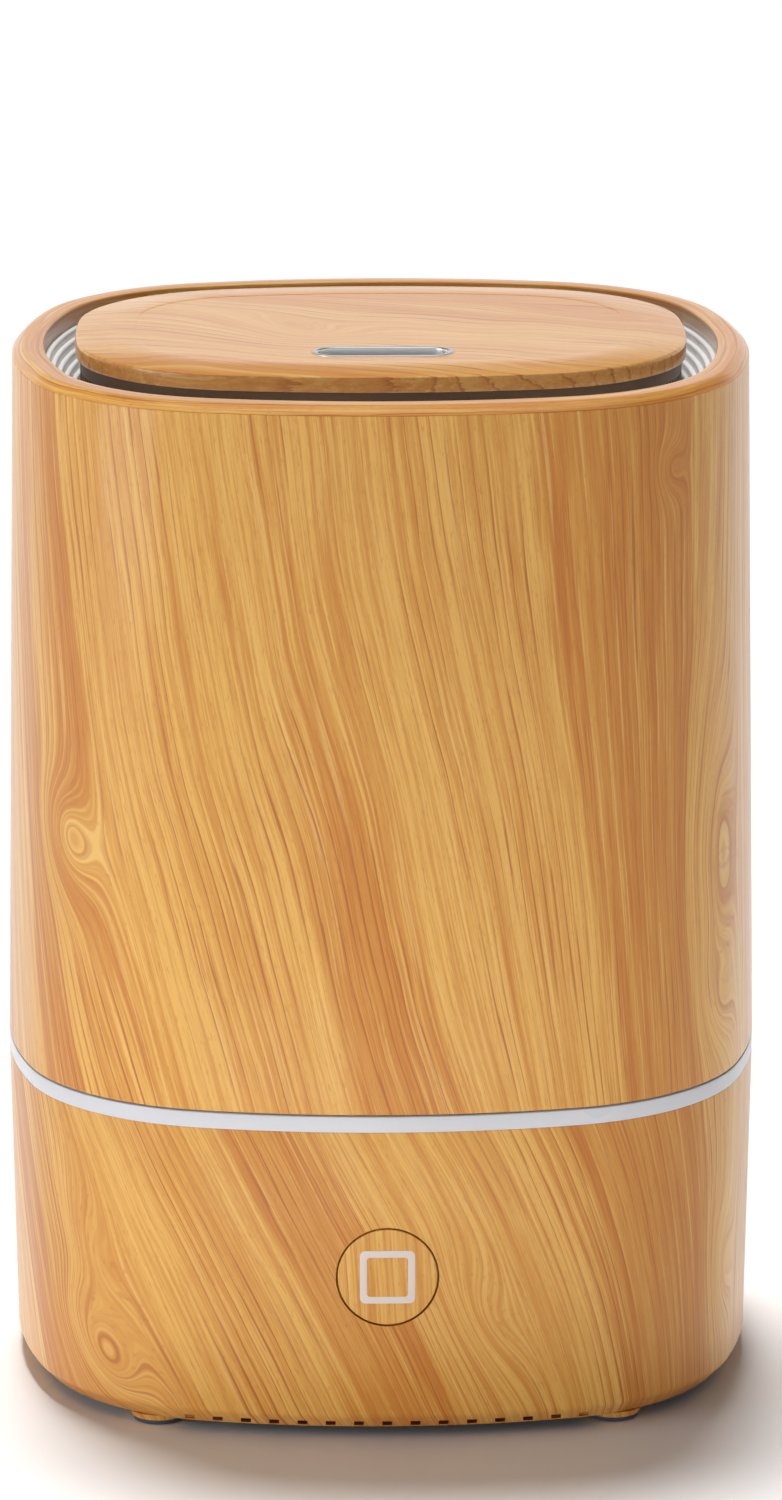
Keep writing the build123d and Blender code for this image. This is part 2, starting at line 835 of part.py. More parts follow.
with BuildPart() as fan_rotor:
    for i in range(blade_count):
        turn = 360 * i / blade_count
        with Locations(Location((fan_x, fan_y, rotor_mid_z), (0, 0, turn))):
            with Locations(Location((blade_centre_radius, 0, 0), (blade_pitch, 0, 0))):
                Box(blade_length, blade_chord, blade_thickness)
    with BuildSketch(Plane.XY.offset(rotor_z)):
        with Locations(fan_spot):
            Circle(blade_tip_radius)
    extrude(amount=rotor_height, mode=Mode.INTERSECT)
    with BuildSketch(Plane.XY.offset(rotor_z)):
        with Locations(fan_spot):
            Circle(rotor_outer_radius)
    extrude(amount=rotor_height)
    with BuildSketch(Plane.XY.offset(rotor_z)):
        with Locations(fan_spot):
            Circle(rotor_inner_radius)
    extrude(amount=rotor_height - rotor_roof, mode=Mode.SUBTRACT)
    with BuildSketch(Plane.XY.offset(fan_z + fan_shaft_start)):
        with Locations(fan_spot):
            Circle(fan_shaft_radius)
    extrude(amount=rotor_z + rotor_height - fan_z - fan_shaft_start)
save(fan_rotor.part, "fan_rotor")

with BuildPart() as fan_magnet:
    with BuildSketch(Plane.XY.offset(fan_plate_z + magnet_start)):
        with Locations(fan_spot):
            Circle(rotor_inner_radius)
            Circle(rotor_inner_radius - rotor_wall, mode=Mode.SUBTRACT)
    extrude(amount=magnet_height)
save(fan_magnet.part, "fan_magnet")

with BuildPart() as fan_coil:
    with BuildSketch(Plane.XY.offset(fan_plate_z + coil_start)):
        with Locations(fan_spot):
            Circle(coil_radius)
            Circle(bearing_post_radius, mode=Mode.SUBTRACT)
    extrude(amount=coil_height)
save(fan_coil.part, "fan_coil")


def duct_section(z, size_x, size_y, corner):
    """One rounded rectangle of the air duct."""
    with BuildSketch(Plane.XY.offset(z)) as section:
        with Locations(fan_spot):
            RectangleRounded(size_x, size_y, corner)
    return section.sketch


duct_bottom = fan_size - duct_margin
duct_flange = 1.6
duct_inside = duct_bottom - 2 * duct_wall
duct_low_z = fan_top_z + duct_flange
duct_top_x = port_width + 2 * duct_wall
duct_top_y = port_depth + 2 * duct_wall

with BuildPart() as air_duct:
    with BuildSketch(Plane.XY.offset(fan_top_z)):
        with Locations(fan_spot):
            RectangleRounded(fan_size, fan_size, fan_corner)
            with GridLocations(fan_hole_pitch, fan_hole_pitch, 2, 2):
                Circle(fan_hole_radius, mode=Mode.SUBTRACT)
    extrude(amount=duct_flange)
    outer_low = duct_section(duct_low_z, duct_bottom, duct_bottom, duct_corner)
    outer_high = duct_section(tray_plate_z, duct_top_x, duct_top_y, port_corner + duct_wall)
    loft(sections=[outer_low, outer_high], ruled=True)
    inner_foot = duct_section(fan_top_z, duct_inside, duct_inside, duct_corner - duct_wall)
    extrude(inner_foot, amount=duct_flange, mode=Mode.SUBTRACT)
    inner_low = duct_section(duct_low_z, duct_inside, duct_inside, duct_corner - duct_wall)
    inner_high = duct_section(tray_plate_z, port_width, port_depth, port_corner)
    loft(sections=[inner_low, inner_high], ruled=True, mode=Mode.SUBTRACT)
save(air_duct.part, "air_duct")

# ---------------------------------------------------------------- base: water level float

float_radius = 11.0
float_height = 12.0
float_rest_height = 3.0
float_gap = 0.5
float_foot_radius = 6.0
float_foot_height = 1.6
magnet_outer_radius = 7.2
magnet_inner_radius = 4.6
magnet_thickness = 3.0
stop_radius = 5.0
stop_thickness = 1.6
reed_length = 14.0
reed_width = 5.0
reed_thickness = 3.0

float_rest_z = basin_floor_z + float_rest_height
float_bore_radius = float_post_radius + float_gap
float_foot_top_z = basin_floor_z + float_foot_height

float_spot = (float_x, float_y)

with BuildPart() as float_post:
    with BuildSketch(Plane.XY.offset(basin_floor_z)):
        with Locations(float_spot):
            Circle(float_foot_radius)
    extrude(amount=float_foot_height)
    with BuildSketch(Plane.XY.offset(float_foot_top_z)):
        with Locations(float_spot):
            Circle(float_post_radius)
    extrude(amount=float_post_top_z - float_foot_top_z)
save(float_post.part, "float_post")

with BuildPart() as float_stop:
    with BuildSketch(Plane.XY.offset(float_post_top_z)):
        with Locations(float_spot):
            Circle(stop_radius)
    extrude(amount=stop_thickness)
save(float_stop.part, "float_stop")

with BuildPart() as level_float:
    with BuildSketch(Plane.XY.offset(float_rest_z)):
        with Locations(float_spot):
            Circle(float_radius)
            Circle(float_bore_radius, mode=Mode.SUBTRACT)
    extrude(amount=float_height)
    with BuildSketch(Plane.XY.offset(float_rest_z)):
        with Locations(float_spot):
            Circle(magnet_outer_radius)
            Circle(magnet_inner_radius, mode=Mode.SUBTRACT)
    extrude(amount=magnet_thickness, mode=Mode.SUBTRACT)
save(level_float.part, "level_float")

with BuildPart() as float_magnet:
    with BuildSketch(Plane.XY.offset(float_rest_z)):
        with Locations(float_spot):
            Circle(magnet_outer_radius)
            Circle(magnet_inner_radius, mode=Mode.SUBTRACT)
    extrude(amount=magnet_thickness)
save(float_magnet.part, "float_magnet")

with BuildPart() as reed_switch:
    with BuildSketch(Plane.XY.offset(basin_bottom_z)):
        with Locations(float_spot):
            Rectangle(reed_length, reed_width)
    extrude(amount=-reed_thickness)
save(reed_switch.part, "reed_switch")

# ---------------------------------------------------------------- tank: shell, rim and floor

seat_ledge_width = 4.2
seat_ledge_thickness = 2.4
rim_inner_inset = tank_taper + rim_edge + rim_flat
rim_skirt_depth = 4.4
rim_step_inset = tank_taper + wall + slip
rim_bottom_z = rim_top_z - rim_skirt_depth
floor_thickness = 2.6
chimney_length = 40.0
chimney_depth = 28.0
chimney_wall = 2.0
chimney_foot_drop = 4.4
chimney_flange = 5.0
valve_neck_radius = 13.0
valve_neck_bore = 9.6

seat_ledge_top_z = tank_rest_z + seat_ledge_thickness
floor_top_z = seat_ledge_top_z + floor_thickness
tank_floor_inset = wall + 2 * slip
valve_spot = (valve_x, valve_y)


def stadium(z, spot, length, depth):
    """A stadium outline, long in X, at height z."""
    with BuildSketch(Plane.XY.offset(z)) as section:
        with Locations(spot):
            SlotOverall(length, depth)
    return section.sketch


def stadium_ring(z, spot, length, depth, hole_length, hole_depth):
    """A stadium with a stadium hole, at height z."""
    with BuildSketch(Plane.XY.offset(z)) as section:
        with Locations(spot):
            SlotOverall(length, depth)
            SlotOverall(hole_length, hole_depth, mode=Mode.SUBTRACT)
    return section.sketch


with BuildPart() as tank_shell:
    band(tank_bottom_z, 0, tank_top_z, tank_taper)
    band(tank_bottom_z, wall, tank_top_z, tank_taper + wall, Mode.SUBTRACT)
    # Ledge that rests on the tray
    ledge_ring = plan_ring(tank_rest_z, wall / 2, wall + seat_ledge_width)
    extrude(ledge_ring, amount=seat_ledge_thickness)
save(tank_shell.part, "tank_shell")

with BuildPart() as tank_rim:
    band(tank_top_z, tank_taper, rim_top_z, tank_taper + rim_edge)
    extrude(plan_face(rim_bottom_z, rim_step_inset), amount=tank_top_z - rim_bottom_z)
    extrude(plan_face(rim_bottom_z, rim_inner_inset), amount=rim_skirt_depth, mode=Mode.SUBTRACT)
save(tank_rim.part, "tank_rim")

chimney_hole_length = chimney_length + 2 * slip
chimney_hole_depth = chimney_depth + 2 * slip
neck_bottom_z = tray_top_z

with BuildPart() as tank_floor:
    extrude(plan_face(seat_ledge_top_z, tank_floor_inset), amount=floor_thickness)
    with BuildSketch(Plane.XY.offset(neck_bottom_z)):
        with Locations(valve_spot):
            Circle(valve_neck_radius)
    extrude(amount=seat_ledge_top_z - neck_bottom_z)
    with BuildSketch(Plane.XY.offset(neck_bottom_z)):
        with Locations(valve_spot):
            Circle(valve_neck_bore)
    extrude(amount=floor_top_z - neck_bottom_z, mode=Mode.SUBTRACT)
    hole = stadium(seat_ledge_top_z, mist_spot, chimney_hole_length, chimney_hole_depth)
    extrude(hole, amount=floor_thickness, mode=Mode.SUBTRACT)
save(tank_floor.part, "tank_floor")

# ---------------------------------------------------------------- tank: chimney

chimney_seal_thickness = 1.0
chimney_flange_thickness = 2.0
chimney_top_z = 256.0
chimney_bottom_z = seat_ledge_top_z - chimney_foot_drop
chimney_bore_length = chimney_length - 2 * chimney_wall
chimney_bore_depth = chimney_depth - 2 * chimney_wall
flange_length = chimney_length + 2 * chimney_flange
flange_depth = chimney_depth + 2 * chimney_flange

with BuildPart() as chimney_seal:
    ring = stadium_ring(
        floor_top_z, mist_spot, flange_length, flange_depth, chimney_length, chimney_depth
    )
    extrude(ring, amount=chimney_seal_thickness)
save(chimney_seal.part, "chimney_seal")

with BuildPart() as mist_chimney:
    tube = stadium(chimney_bottom_z, mist_spot, chimney_length, chimney_depth)
    extrude(tube, amount=chimney_top_z - chimney_bottom_z)
    flange_z = floor_top_z + chimney_seal_thickness
    flange = stadium(flange_z, mist_spot, flange_length, flange_depth)
    extrude(flange, amount=chimney_flange_thickness)
    bore = stadium(chimney_bottom_z, mist_spot, chimney_bore_length, chimney_bore_depth)
    extrude(bore, amount=chimney_top_z - chimney_bottom_z, mode=Mode.SUBTRACT)
save(mist_chimney.part, "mist_chimney")

# ---------------------------------------------------------------- tank: valve

cap_wall = 2.2
cap_floor = 1.8
orifice_radius = 5.0
cage_radius = 9.2
cage_wall = 1.3
cage_height = 17.0
cage_bridge = 2.0
window_height = 10.0
window_reach = 8.0
window_width = 9.0
valve_lift = 4.0
seal_disc_radius = 7.2
seal_disc_thickness = 1.2
valve_disc_thickness = 1.4
valve_disc_margin = 0.4
valve_stem_radius = 1.8
valve_stem_out = 2.0
guide_gap = 0.3
spring_wire_radius = 0.35
spring_mean_radius = 3.8
spring_turns = 4

guide_radius = valve_stem_radius + guide_gap
cap_top_z = seat_ledge_top_z - free_gap
cap_bottom_z = neck_bottom_z - cap_floor - slip
orifice_z = cap_bottom_z + cap_floor
cage_top_z = orifice_z + cage_height
bridge_z = cage_top_z - cage_bridge
seal_rest_z = orifice_z + valve_lift
valve_disc_z = seal_rest_z + seal_disc_thickness
valve_disc_top_z = valve_disc_z + valve_disc_thickness

with BuildPart() as valve_cap:
    with BuildSketch(Plane.XY.offset(cap_bottom_z)):
        with Locations(valve_spot):
            Circle(valve_neck_radius + slip + cap_wall)
    extrude(amount=cap_top_z - cap_bottom_z)
    with BuildSketch(Plane.XY.offset(orifice_z)):
        with Locations(valve_spot):
            Circle(valve_neck_radius + slip)
    extrude(amount=cap_top_z - orifice_z, mode=Mode.SUBTRACT)
    with BuildSketch(Plane.XY.offset(cap_bottom_z)):
        with Locations(valve_spot):
            Circle(orifice_radius)
    extrude(amount=cap_floor, mode=Mode.SUBTRACT)
save(valve_cap.part, "valve_cap")

with BuildPart() as valve_cage:
    with BuildSketch(Plane.XY.offset(orifice_z)):
        with Locations(valve_spot):
            Circle(cage_radius)
    extrude(amount=cage_height)
    with BuildSketch(Plane.XY.offset(orifice_z)):
        with Locations(valve_spot):
            Circle(cage_radius - cage_wall)
    extrude(amount=bridge_z - orifice_z, mode=Mode.SUBTRACT)
    with BuildSketch(Plane.XY.offset(bridge_z)):
        with Locations(valve_spot):
            Circle(guide_radius)
    extrude(amount=cage_bridge, mode=Mode.SUBTRACT)
    # Three side windows that let the water in
    with BuildSketch(Plane.XY.offset(bridge_z - window_height)):
        with Locations(valve_spot):
            with PolarLocations(cage_radius, 3):
                Rectangle(window_reach, window_width)
    extrude(amount=window_height, mode=Mode.SUBTRACT)
save(valve_cage.part, "valve_cage")

with BuildPart() as valve_plunger:
    with BuildSketch(Plane.XY.offset(valve_rest_z)):
        with Locations(valve_spot):
            Circle(valve_stem_radius)
    extrude(amount=cage_top_z + valve_stem_out - valve_rest_z)
    with BuildSketch(Plane.XY.offset(valve_disc_z)):
        with Locations(valve_spot):
            Circle(seal_disc_radius - valve_disc_margin)
    extrude(amount=valve_disc_thickness)
save(valve_plunger.part, "valve_plunger")

with BuildPart() as valve_seal:
    with BuildSketch(Plane.XY.offset(seal_rest_z)):
        with Locations(valve_spot):
            Circle(seal_disc_radius)
            Circle(valve_stem_radius, mode=Mode.SUBTRACT)
    extrude(amount=seal_disc_thickness)
save(valve_seal.part, "valve_seal")

spring_low_z = valve_disc_top_z + spring_wire_radius
spring_length = bridge_z - valve_disc_top_z - 2 * spring_wire_radius

with BuildPart() as valve_spring:
    with BuildLine(Plane((valve_x, valve_y, spring_low_z))) as coil_line:
        Helix(spring_length / spring_turns, spring_length, spring_mean_radius)
    with BuildSketch(Plane(coil_line.line @ 0, z_dir=coil_line.line % 0)):
        Circle(spring_wire_radius)
    sweep(path=coil_line.line, is_frenet=True)
save(valve_spring.part, "valve_spring")

# ---------------------------------------------------------------- tank: fill funnel

stair_count = 5
stair_tread = 1.6
stair_riser = 2.0
funnel_flange_gap = 0.3
funnel_flange_thickness = 1.8
funnel_shell = 1.8
throat_inset = 5.6
funnel_floor_thickness = 2.0

funnel_flange_inset = rim_step_inset + funnel_flange_gap
funnel_floor_z = rim_bottom_z - stair_count * stair_riser
funnel_bottom_z = funnel_floor_z - funnel_floor_thickness

with BuildPart() as fill_funnel:
    extrude(
        plan_face(rim_bottom_z - funnel_flange_thickness, funnel_flange_inset),
        amount=funnel_flange_thickness,
    )
    stair_inset = rim_inner_inset + (stair_count - 1) * stair_tread
    shoulder_z = rim_bottom_z - funnel_flange_thickness
    band(funnel_bottom_z, stair_inset, shoulder_z, rim_inner_inset - funnel_shell)
    for i in range(stair_count):
        step_z = rim_bottom_z - (i + 1) * stair_riser
        step = plan_face(step_z, rim_inner_inset + i * stair_tread)
        extrude(step, amount=stair_riser, mode=Mode.SUBTRACT)
    throat = plan_face(funnel_bottom_z, throat_inset, lid_plan)
    extrude(throat, amount=funnel_floor_thickness, mode=Mode.SUBTRACT)
save(fill_funnel.part, "fill_funnel")

# ---------------------------------------------------------------- lid

lid_bottom_z = 274.2
lid_side_height = 3.9
lid_dome = [(0.0, 0.0), (1.2, 0.45), (5.0, 0.95), (12.0, 1.3)]
lid_pocket_inset = 4.0
lid_pocket_depth = 2.0
lid_slot_land = 5.0
lid_screw_x = 52.0
lid_screw_y = 30.0
lid_screw_radius = 1.25
lid_head_radius = 2.4
lid_head_height = 1.3
lid_boss_radius = 4.0
web_thickness = 2.0
skirt_inset = 1.2
skirt_wall = 2.0
skirt_foot = 1.6
lip_gap = 0.6
lip_wall = 1.6
lip_drop = 4.0
slit_count = 230
slit_width = 1.0
slit_foot = 2.0
slit_head = 1.6
plain_half_width = 40.0
notch_x = 26.0
notch_width = 4.0
notch_depth = 16.0
slot_length = 37.0
slot_depth = 13.0
bezel_width = 1.5
bezel_flange = 0.8
bezel_proud = 0.25
bezel_sleeve_wall = 0.9

lid_top_z = lid_bottom_z + lid_side_height + lid_dome[-1][1]
lid_side_top_z = lid_bottom_z + lid_side_height
web_z = lid_bottom_z - web_thickness
lip_inset = throat_inset + lip_gap
flange_low_z = lid_top_z + bezel_proud - bezel_flange
slit_low_z = funnel_floor_z + slit_foot
slit_height = web_z - slit_head - slit_low_z
mouth_length = slot_length - 2 * bezel_width
mouth_depth = slot_depth - 2 * bezel_width
sleeve_length = mouth_length + 2 * bezel_sleeve_wall
sleeve_depth = mouth_depth + 2 * bezel_sleeve_wall
sleeve_hole_length = sleeve_length + 2 * slip
sleeve_hole_depth = sleeve_depth + 2 * slip
lid_screw_spots = [(i * lid_screw_x, j * lid_screw_y) for i, j in corners]

with BuildPart() as lid_top:
    extrude(plan_face(lid_bottom_z, 0, lid_plan), amount=lid_side_height)
    for (low_inset, low_rise), (high_inset, high_rise) in zip(lid_dome, lid_dome[1:]):
        low_z = lid_side_top_z + low_rise
        high_z = lid_side_top_z + high_rise
        band(low_z, low_inset, high_z, high_inset, Mode.ADD, lid_plan)
    pocket = plan_face(lid_bottom_z, lid_pocket_inset, lid_plan)
    extrude(pocket, amount=lid_pocket_depth, mode=Mode.SUBTRACT)
    with BuildSketch(Plane.XY.offset(lid_bottom_z)):
        with Locations(*lid_screw_spots):
            Circle(lid_boss_radius)
        with Locations(mist_spot):
            SlotOverall(slot_length + lid_slot_land, slot_depth + lid_slot_land)
    extrude(amount=lid_pocket_depth)
    with BuildSketch(Plane.XY.offset(lid_bottom_z)):
        with Locations(*lid_screw_spots):
            Circle(lid_screw_radius + thread_gap)
    extrude(amount=lid_pocket_depth, mode=Mode.SUBTRACT)
    hole = stadium(lid_bottom_z, mist_spot, sleeve_hole_length, sleeve_hole_depth)
    extrude(hole, amount=lid_top_z - lid_bottom_z + cut_start, mode=Mode.SUBTRACT)
    recess = stadium(flange_low_z, mist_spot, slot_length + slip, slot_depth + slip)
    extrude(recess, amount=bezel_flange, mode=Mode.SUBTRACT)
save(lid_top.part, "lid_top")

with BuildPart() as outlet_bezel:
    flange = stadium_ring(flange_low_z, mist_spot, slot_length, slot_depth, mouth_length, mouth_depth)
    extrude(flange, amount=bezel_flange)
    sleeve = stadium_ring(web_z, mist_spot, sleeve_length, sleeve_depth, mouth_length, mouth_depth)
    extrude(sleeve, amount=flange_low_z - web_z)
save(outlet_bezel.part, "outlet_bezel")

with BuildSketch() as skirt_line:
    add(plan_face(0, skirt_inset + skirt_wall / 2, lid_plan))
skirt_path = skirt_line.sketch.faces()[0].outer_wire()
slit_places = []
for i in range(slit_count):
    at = (i + 0.5) / slit_count
    point = skirt_path @ at
    along = skirt_path % at
    if point.Y > 0 or abs(point.X) > plain_half_width:
        slit_places.append(Location((point.X, point.Y), math.degrees(math.atan2(along.Y, along.X))))

lip_edge = lip_inset + lip_wall

with BuildPart() as lid_frame:
    skirt = plan_ring(funnel_floor_z, skirt_inset, skirt_inset + skirt_wall, lid_plan)
    extrude(skirt, amount=web_z - funnel_floor_z)
    extrude(plan_face(web_z, skirt_inset, lid_plan), amount=web_thickness)
    extrude(plan_ring(funnel_floor_z, skirt_inset, lip_edge, lid_plan), amount=skirt_foot)
    extrude(plan_ring(funnel_floor_z - lip_drop, lip_inset, lip_edge, lid_plan), amount=lip_drop)
    hole = stadium(web_z, mist_spot, sleeve_hole_length, sleeve_hole_depth)
    extrude(hole, amount=web_thickness, mode=Mode.SUBTRACT)
    with BuildSketch(Plane.XY.offset(web_z)):
        with Locations(*lid_screw_spots):
            Circle(lid_screw_radius + screw_gap)
    extrude(amount=web_thickness, mode=Mode.SUBTRACT)
    # Slits that strain the water poured in round the lid
    with BuildSketch(Plane.XY.offset(slit_low_z)):
        with Locations(*slit_places):
            Rectangle(slit_width, 3 * skirt_wall)
    extrude(amount=slit_height, mode=Mode.SUBTRACT)
    # Two wider notches either side of the plain front
    with BuildSketch(Plane.XY.offset(slit_low_z)):
        with Locations((notch_x, -lid_half_depth), (-notch_x, -lid_half_depth)):
            Rectangle(notch_width, notch_depth)
    extrude(amount=slit_height, mode=Mode.SUBTRACT)
save(lid_frame.part, "lid_frame")

# ---------------------------------------------------------------- lid: mist duct

duct_flange_thickness = 1.5
duct_flange_margin = 3.0
spigot_gap = 0.5
spigot_wall = 1.5
spigot_bottom_z = 246.0
spigot_top_z = 260.0
seal_ring_height = 2.0

spigot_length = chimney_bore_length - 2 * spigot_gap
spigot_depth = chimney_bore_depth - 2 * spigot_gap
spigot_bore_length = spigot_length - 2 * spigot_wall
spigot_bore_depth = spigot_depth - 2 * spigot_wall
neck_length = mouth_length + 2 * spigot_wall
neck_depth = mouth_depth + 2 * spigot_wall
duct_flange_z = web_z - duct_flange_thickness
duct_flange_length = sleeve_length + 2 * duct_flange_margin
duct_flange_depth = sleeve_depth + 2 * duct_flange_margin

with BuildPart() as mist_duct:
    spigot = stadium(spigot_bottom_z, mist_spot, spigot_length, spigot_depth)
    extrude(spigot, amount=spigot_top_z - spigot_bottom_z)
    neck_low = stadium(spigot_top_z, mist_spot, spigot_length, spigot_depth)
    neck_high = stadium(duct_flange_z, mist_spot, neck_length, neck_depth)
    loft(sections=[neck_low, neck_high], ruled=True)
    flange = stadium(duct_flange_z, mist_spot, duct_flange_length, duct_flange_depth)
    extrude(flange, amount=duct_flange_thickness)
    bore = stadium(spigot_bottom_z, mist_spot, spigot_bore_length, spigot_bore_depth)
    extrude(bore, amount=spigot_top_z - spigot_bottom_z, mode=Mode.SUBTRACT)
    bore_low = stadium(spigot_top_z, mist_spot, spigot_bore_length, spigot_bore_depth)
    bore_high = stadium(duct_flange_z, mist_spot, mouth_length, mouth_depth)
    loft(sections=[bore_low, bore_high], ruled=True, mode=Mode.SUBTRACT)
    mouth = stadium(duct_flange_z, mist_spot, mouth_length, mouth_depth)
    extrude(mouth, amount=duct_flange_thickness, mode=Mode.SUBTRACT)
save(mist_duct.part, "mist_duct")

with BuildPart() as duct_seal:
    seal_ring_z = chimney_top_z + spigot_gap
    ring = stadium_ring(
        seal_ring_z, mist_spot, chimney_length, chimney_depth, spigot_length, spigot_depth
    )
    extrude(ring, amount=seal_ring_height)
save(duct_seal.part, "duct_seal")

with BuildPart() as lid_screws:
    with BuildSketch(Plane.XY.offset(web_z)):
        with Locations(*lid_screw_spots):
            Circle(lid_head_radius)
    extrude(amount=-lid_head_height)
    with BuildSketch(Plane.XY.offset(web_z)):
        with Locations(*lid_screw_spots):
            Circle(lid_screw_radius)
    extrude(amount=web_thickness + lid_pocket_depth - slip)
save(lid_screws.part, "lid_screws")
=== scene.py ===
"""Looks of the cool mist humidifier: metres, +Z up, front towards -Y, origin on the table."""

import json
import math
from collections import namedtuple

import bmesh
import bpy
import numpy as np
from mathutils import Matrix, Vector


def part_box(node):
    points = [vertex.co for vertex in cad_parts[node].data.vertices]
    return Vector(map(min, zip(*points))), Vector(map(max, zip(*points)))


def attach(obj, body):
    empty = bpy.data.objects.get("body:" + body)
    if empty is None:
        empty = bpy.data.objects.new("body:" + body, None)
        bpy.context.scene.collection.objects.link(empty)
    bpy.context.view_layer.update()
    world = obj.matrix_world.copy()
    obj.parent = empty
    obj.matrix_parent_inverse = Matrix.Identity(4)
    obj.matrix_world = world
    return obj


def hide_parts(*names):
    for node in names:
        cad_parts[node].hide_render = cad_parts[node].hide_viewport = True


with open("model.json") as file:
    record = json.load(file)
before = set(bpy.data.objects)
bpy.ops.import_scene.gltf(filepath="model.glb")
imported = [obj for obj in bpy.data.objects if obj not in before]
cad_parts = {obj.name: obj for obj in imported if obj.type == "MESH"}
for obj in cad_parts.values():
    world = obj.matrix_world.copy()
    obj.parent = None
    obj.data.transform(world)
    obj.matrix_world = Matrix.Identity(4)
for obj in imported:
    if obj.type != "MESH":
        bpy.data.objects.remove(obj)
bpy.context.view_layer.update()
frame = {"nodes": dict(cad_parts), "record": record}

MM = 0.001

# ---------------------------------------------------------------- places, read from the frame

base_low, base_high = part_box("base_shell")
ring_low, ring_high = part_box("light_ring")
tank_low, tank_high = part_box("tank_shell")
rim_low, rim_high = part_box("tank_rim")
lid_low, lid_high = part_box("lid_top")
funnel_low, funnel_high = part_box("fill_funnel")
bezel_low, bezel_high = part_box("outlet_bezel")
mark_low, mark_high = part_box("button_mark")
socket_low, socket_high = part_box("power_socket")
feet_low, feet_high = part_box("feet")
pads_low, pads_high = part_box("foot_pads")

# Radii of the feet and their pads.
FOOT_TOP = 7.93 * MM
FOOT_SOLE = 7.2 * MM
PAD_RADIUS = 6.6 * MM

half_width = ring_high.x
half_depth = ring_high.y
tank_taper = half_width - rim_high.x
foot_x = feet_high.x - FOOT_TOP
foot_y = feet_high.y - FOOT_TOP
foot_spots = [(i * foot_x, j * foot_y) for i in (-1, 1) for j in (-1, 1)]
button_z = (mark_low.z + mark_high.z) / 2
socket_z = (socket_low.z + socket_high.z) / 2
mist_y = (bezel_low.y + bezel_high.y) / 2

WALL = 2.6 * MM
SLIP = 0.2 * MM
BASE_TAPER = 1.6 * MM
BASE_EDGE = 4.2 * MM
RIM_FLAT = 6.0 * MM
base_bend_z = base_low.z + BASE_EDGE
rim_edge = rim_high.z - tank_high.z
rim_inner = tank_taper + rim_edge + RIM_FLAT

# ---------------------------------------------------------------- outlines seen from above

Outline = namedtuple("Outline", "centres radii normals along length")


def plan_arcs(half_x, half_y, r_front, r_side, r_corner):
    """Arcs of a rounded plan as (centre, radius, first angle, last angle), anticlockwise from the back.

    The front and back arcs pass through (0, +-half_y), the side arcs through (+-half_x, 0), and each
    corner arc touches its two neighbours from inside."""
    front_y = r_front - half_y
    side_x = half_x - r_side
    gap = math.hypot(side_x, front_y)
    reach_front = r_front - r_corner
    reach_side = r_side - r_corner
    along = (reach_front**2 - reach_side**2 + gap**2) / (2 * gap)
    across = math.sqrt(reach_front**2 - along**2)
    corner_x = (along * side_x + across * front_y) / gap
    corner_y = front_y + (across * side_x - along * front_y) / gap
    front = math.pi / 2 + math.atan2(corner_y - front_y, corner_x)
    side = -math.atan2(corner_y, corner_x - side_x)
    half, turn = math.pi / 2, math.pi
    return [
        ((0, -front_y), r_front, half, half + front),
        ((-corner_x, -corner_y), r_corner, half + front, turn - side),
        ((-side_x, 0), r_side, turn - side, turn + side),
        ((-corner_x, corner_y), r_corner, turn + side, 3 * half - front),
        ((0, front_y), r_front, 3 * half - front, 3 * half + front),
        ((corner_x, corner_y), r_corner, 3 * half + front, 2 * turn - side),
        ((side_x, 0), r_side, 2 * turn - side, 2 * turn + side),
        ((corner_x, -corner_y), r_corner, 2 * turn + side, 5 * half - front),
        ((0, -front_y), r_front, 5 * half - front, 5 * half),
    ]


def outline(arcs, count=420):
    """Evenly spaced points of a plan, each with its arc's centre and radius and its outward normal.

    Along is the length from the middle of the front, negative on the left, one value more than the
    points so that the last one closes the line."""
    centres = np.array([arc[0] for arc in arcs])
    radii = np.array([arc[1] for arc in arcs])
    starts = np.array([arc[2] for arc in arcs])
    spans = np.array([arc[3] - arc[2] for arc in arcs])
    ends = np.concatenate([[0], np.cumsum(spans * radii)])
    at = np.linspace(0, ends[-1], count + 1)
    arc = np.minimum(np.searchsorted(ends, at[:-1], side="right") - 1, len(arcs) - 1)
    angle = starts[arc] + (at[:-1] - ends[arc]) / radii[arc]
    normals = np.stack([np.cos(angle), np.sin(angle)], 1)
    return Outline(centres[arc], radii[arc], normals, at - ends[-1] / 2, ends[-1])


NEARLY_STRAIGHT = 2.0
SLOT_END = 1.03
SLOT_CORNER = 0.97


def slot_arcs(half_x, half_y):
    """A slot with round ends as plan arcs: long sides of a very large radius, and ends of a little more
    than half the width that run into corners of a little less."""
    return plan_arcs(half_x, half_y, NEARLY_STRAIGHT, SLOT_END * half_y, SLOT_CORNER * half_y)


FRONT_RADIUS = 212 * MM
SIDE_RADIUS = 161 * MM
CORNER_RADIUS = 61 * MM
LID_FRONT_RADIUS = 226.3 * MM
LID_SIDE_RADIUS = 210.7 * MM
LID_CORNER_RADIUS = 47.1 * MM
body_line = outline(plan_arcs(half_width, half_depth, FRONT_RADIUS, SIDE_RADIUS, CORNER_RADIUS))
lid_line = outline(plan_arcs(lid_high.x, lid_high.y, LID_FRONT_RADIUS, LID_SIDE_RADIUS, LID_CORNER_RADIUS))
bezel_half = (bezel_high.y - bezel_low.y) / 2
bezel_line = outline(slot_arcs(bezel_high.x, bezel_half))
GIRTH = body_line.length


def ring_row(line, inset, z, shift=(0, 0)):
    """One row of points at height z: each is its arc's centre + (radius - inset) * normal + shift."""
    flat = line.centres + (line.radii - inset)[:, None] * line.normals + np.array(shift)
    return np.column_stack([flat, np.full(len(flat), z)])


# ---------------------------------------------------------------- profiles, surfaces and pieces


CORNER_ROWS = 5


